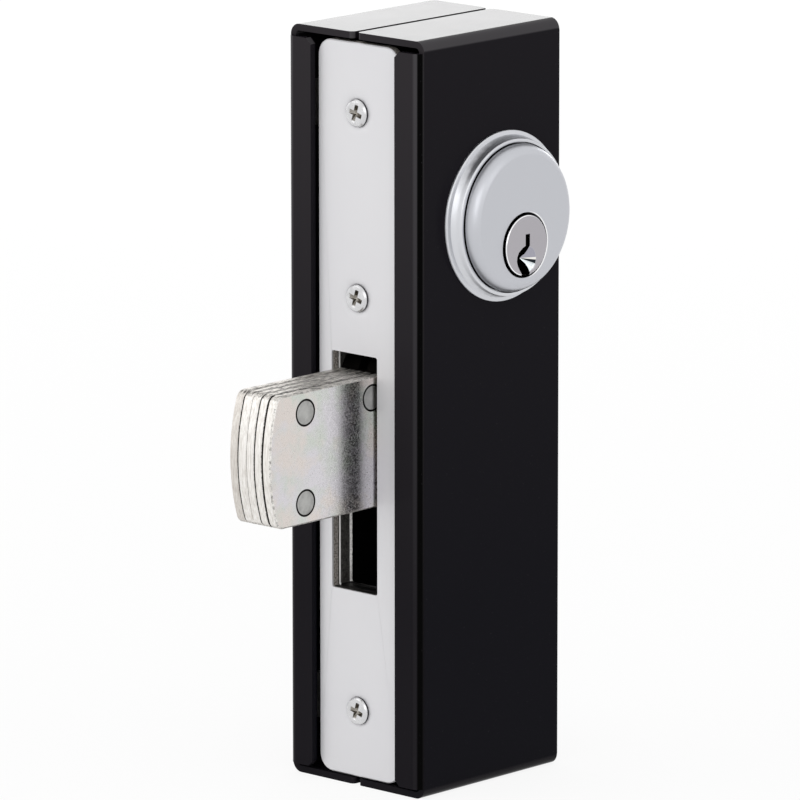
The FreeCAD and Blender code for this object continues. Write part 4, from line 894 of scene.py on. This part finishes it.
def galvanised():
    material, tree, shader = new_finish("galvanised sheet", SHEET, roughness=0.42, metallic=0.5)
    here = coordinates(tree)
    crystals = add(tree, "ShaderNodeSeparateColor")
    tree.links.new(cells(tree, here, 240.0).outputs["Color"], crystals.inputs[0])
    shade = crystals.outputs[0]
    front = case_front(tree, here)
    lip_highlight = both(tree, front, past(tree, here, "Y", case_low.y + 0.55 * MM, case_low.y + 0.65 * MM))
    tone = tint(tree, shade, SHEET_DARK, SHEET_LIGHT)
    tone = edge_colours(tree, here, tone, front, lip_highlight)
    set_look(tree, shader, tone, spread(tree, shade, 0.34, 0.52, 0.0, 1.0))
    slope = worked(tree, "MULTIPLY", part_of(tree, here, "Y"), LIP_SLOPE / MM)
    rolled = leaned(tree, shader, worked(tree, "MULTIPLY", lip_highlight, slope))
    pits = noise(tree, here, 800.0, detail=4.0)
    relief(tree, shader, pits, strength=0.2, depth=0.02, under=rolled)
    return material


dress(["case_body", "case_cover"], galvanised())


# %% Ground steel, spring steel and brass
GROUND_STEEL, PIN_STEEL = (0.42, 0.41, 0.40), (0.46, 0.46, 0.47)
SPRING_STEEL, BRASS = (0.36, 0.36, 0.38), (0.72, 0.52, 0.24)


def ground(name, colour, rough, stretch):
    """Metal with grinding marks, which are longest along the axis with the smallest stretch."""
    material, tree, shader = new_finish(name, colour, rough)
    marks = noise(tree, coordinates(tree, stretch=stretch), 3000.0, detail=4.0)
    cloud = noise(tree, coordinates(tree), 300.0, detail=4.0)
    tone = tint(tree, rising(tree, cloud), scaled(colour, 0.82), colour)
    set_look(tree, shader, tone, spread(tree, marks, rough * 0.75, rough * 1.3))
    relief(tree, shader, marks, strength=0.15, depth=0.01)
    return material


dress(["lever_plate", "cam"],
      ground("ground steel", GROUND_STEEL, rough=0.34, stretch=(1, 1, 0.05)))
dress(["bolt_pivot_pin", "lever_pivot_pin", "leaf_spring_rivets", "bolt_core", "lever_drive_pin"],
      ground("pin steel", PIN_STEEL, rough=0.26, stretch=(1, 0.06, 0.06)))
dress(["leaf_spring", "pin_springs", "collar_spring_washer"],
      ground("spring steel", SPRING_STEEL, rough=0.30, stretch=(0.1, 1, 1)))
dress(["lever_spacers", "chamber_cap", "driver_pins", "key_pins"],
      ground("turned brass", BRASS, rough=0.26, stretch=(0.06, 1, 1)))


# %% Soften the inner pieces
for name in ("lever_plate", "cam", "case_body", "case_cover"):
    soften(name, 0.12)
for name in ("armour_screws", "cover_screws", "cylinder_set_screw", "cam_screws", "bolt_pivot_pin",
             "lever_pivot_pin", "leaf_spring_rivets", "lever_drive_pin", "lever_spacers",
             "chamber_cap", "driver_pins", "key_pins", "pin_springs", "leaf_spring", "bolt_core",
             "collar_spring_washer"):
    soften(name, 0.04, segments=1)


# %% [markdown]
# ## The camera
# The photograph was taken from far off with a long lens, so parallel edges hardly close in. The
# camera looks down by about twelve degrees from the front, to the right of it. The picture's
# centre was a little to the left of the lock's, which a small shift gives without turning the
# camera.

# %% Camera
AZIMUTH = math.radians(42.5)
ELEVATION = math.radians(11.905)
DISTANCE = 1.99625
aim = Vector((0.0, -0.025, -0.0005))
away = Vector((math.sin(AZIMUTH) * math.cos(ELEVATION), -math.cos(AZIMUTH) * math.cos(ELEVATION),
               math.sin(ELEVATION)))
lens = bpy.data.cameras.new("camera")
lens.lens = 382.74
lens.sensor_width = 36.0
lens.shift_x = -0.0317
lens.shift_y = -0.0010
lens.clip_start = 0.05
lens.clip_end = 20.0
camera = bpy.data.objects.new("camera", lens)
camera.location = aim + away * DISTANCE
camera.rotation_euler = (-away).to_track_quat("-Z", "Y").to_euler()
bpy.context.scene.collection.objects.link(camera)
bpy.context.scene.camera = camera
print("camera at", tuple(round(v, 3) for v in camera.location))


# %% [markdown]
# ## A pale floor
# A catalogue picture has a white ground. More light on the floor would spoil the object's
# colours, so the floor is white only to the rays that come from the camera or from a reflection,
# and for all other rays it is plain pale card. A share of the card is kept for the camera too,
# so the lock's soft shadow still falls on it.

# %% Pale card
CARD = (0.86, 0.86, 0.86, 1.0)
WHITE_SHARE = 0.88


def camera_or_mirror(tree):
    path = add(tree, "ShaderNodeLightPath")
    return largest(tree, [path.outputs["Is Camera Ray"], path.outputs["Is Glossy Ray"],
                          path.outputs["Is Transmission Ray"]])


def floor_card():
    material = bpy.data.materials.new("pale card")
    material.use_nodes = True
    tree = material.node_tree
    tree.nodes.clear()
    card = add(tree, "ShaderNodeBsdfDiffuse")
    card.inputs["Color"].default_value = CARD
    glow = add(tree, "ShaderNodeEmission")
    glow.inputs["Strength"].default_value = 1.0
    blend = add(tree, "ShaderNodeMixShader")
    white = worked(tree, "MULTIPLY", camera_or_mirror(tree), WHITE_SHARE)
    tree.links.new(white, blend.inputs[0])
    tree.links.new(card.outputs[0], blend.inputs[1])
    tree.links.new(glow.outputs[0], blend.inputs[2])
    out = add(tree, "ShaderNodeOutputMaterial")
    tree.links.new(blend.outputs[0], out.inputs["Surface"])
    return material


# %% Floor
FLOOR_REACH = 3


def flat_sheet(name, corners, material):
    mesh = bpy.data.meshes.new(name)
    mesh.from_pydata(corners, [], [tuple(range(len(corners)))])
    sheet = bpy.data.objects.new(name, mesh)
    sheet.data.materials.append(material)
    bpy.context.scene.collection.objects.link(sheet)
    print(name, "at z:", round(corners[0][2] / MM, 2))


flat_sheet("floor", [(x * FLOOR_REACH, y * FLOOR_REACH, cad_low.z)
                     for x, y in ((-1, -1), (1, -1), (1, 1), (-1, 1))], floor_card())


# %% [markdown]
# ## The room and its lights
# The room is white all round, and dimmer for the light that it throws than for what mirrors
# show. Two large softboxes, one high at the front left and one at the front right, shape the
# pieces. Two weaker ones fill in the shade, low at the left and high at the right. The last
# stands low behind the lock: the box's top mirrors it, as in the photograph, and it hardly
# lights anything else.

# %% World
ROOM_AS_LIGHT, ROOM_AS_SEEN = 0.90, 1.0


def white_room():
    world = bpy.data.worlds.new("white room")
    bpy.context.scene.world = world
    world.use_nodes = True
    tree = world.node_tree
    tree.nodes.clear()
    sky = add(tree, "ShaderNodeBackground")
    sky.inputs["Color"].default_value = (1.0, 1.0, 1.0, 1.0)
    strength = spread(tree, camera_or_mirror(tree), ROOM_AS_LIGHT, ROOM_AS_SEEN, 0.0, 1.0)
    tree.links.new(strength, sky.inputs["Strength"])
    out = add(tree, "ShaderNodeOutputWorld")
    tree.links.new(sky.outputs[0], out.inputs["Surface"])


white_room()


# %% Softboxes
def softbox(name, place, size, power):
    """A lamp turned to the lock: its place and size in metres, its power in watts."""
    light = bpy.data.lights.new(name, "AREA")
    light.shape = "RECTANGLE"
    light.size, light.size_y = size
    light.energy = power
    lamp = bpy.data.objects.new(name, light)
    lamp.location = place
    towards = aim - Vector(place)
    lamp.rotation_euler = towards.to_track_quat("-Z", "Y").to_euler()
    bpy.context.scene.collection.objects.link(lamp)
    print(name, "is", round(towards.length, 2), "m from the lock")


softbox("front left softbox", place=(-0.9, -1.3, 1.2), size=(1.2, 1.2), power=3.3)
softbox("low left softbox", place=(-1.3, -1.1, 0.25), size=(0.7, 0.5), power=1.2)
softbox("front right softbox", place=(1.2, -1.2, 0.7), size=(1.0, 1.0), power=3.0)
softbox("right softbox", place=(1.6, 0.1, 0.9), size=(0.8, 1.0), power=1.0)
softbox("low back softbox", place=(-0.86, 1.05, 0.32), size=(1.2, 0.45), power=4.5)


# %% [markdown]
# ## The picture's settings
# The view transform is Standard, so that a colour shows as it was written.

# %% The view transform
bpy.context.scene.view_settings.view_transform = "Standard"
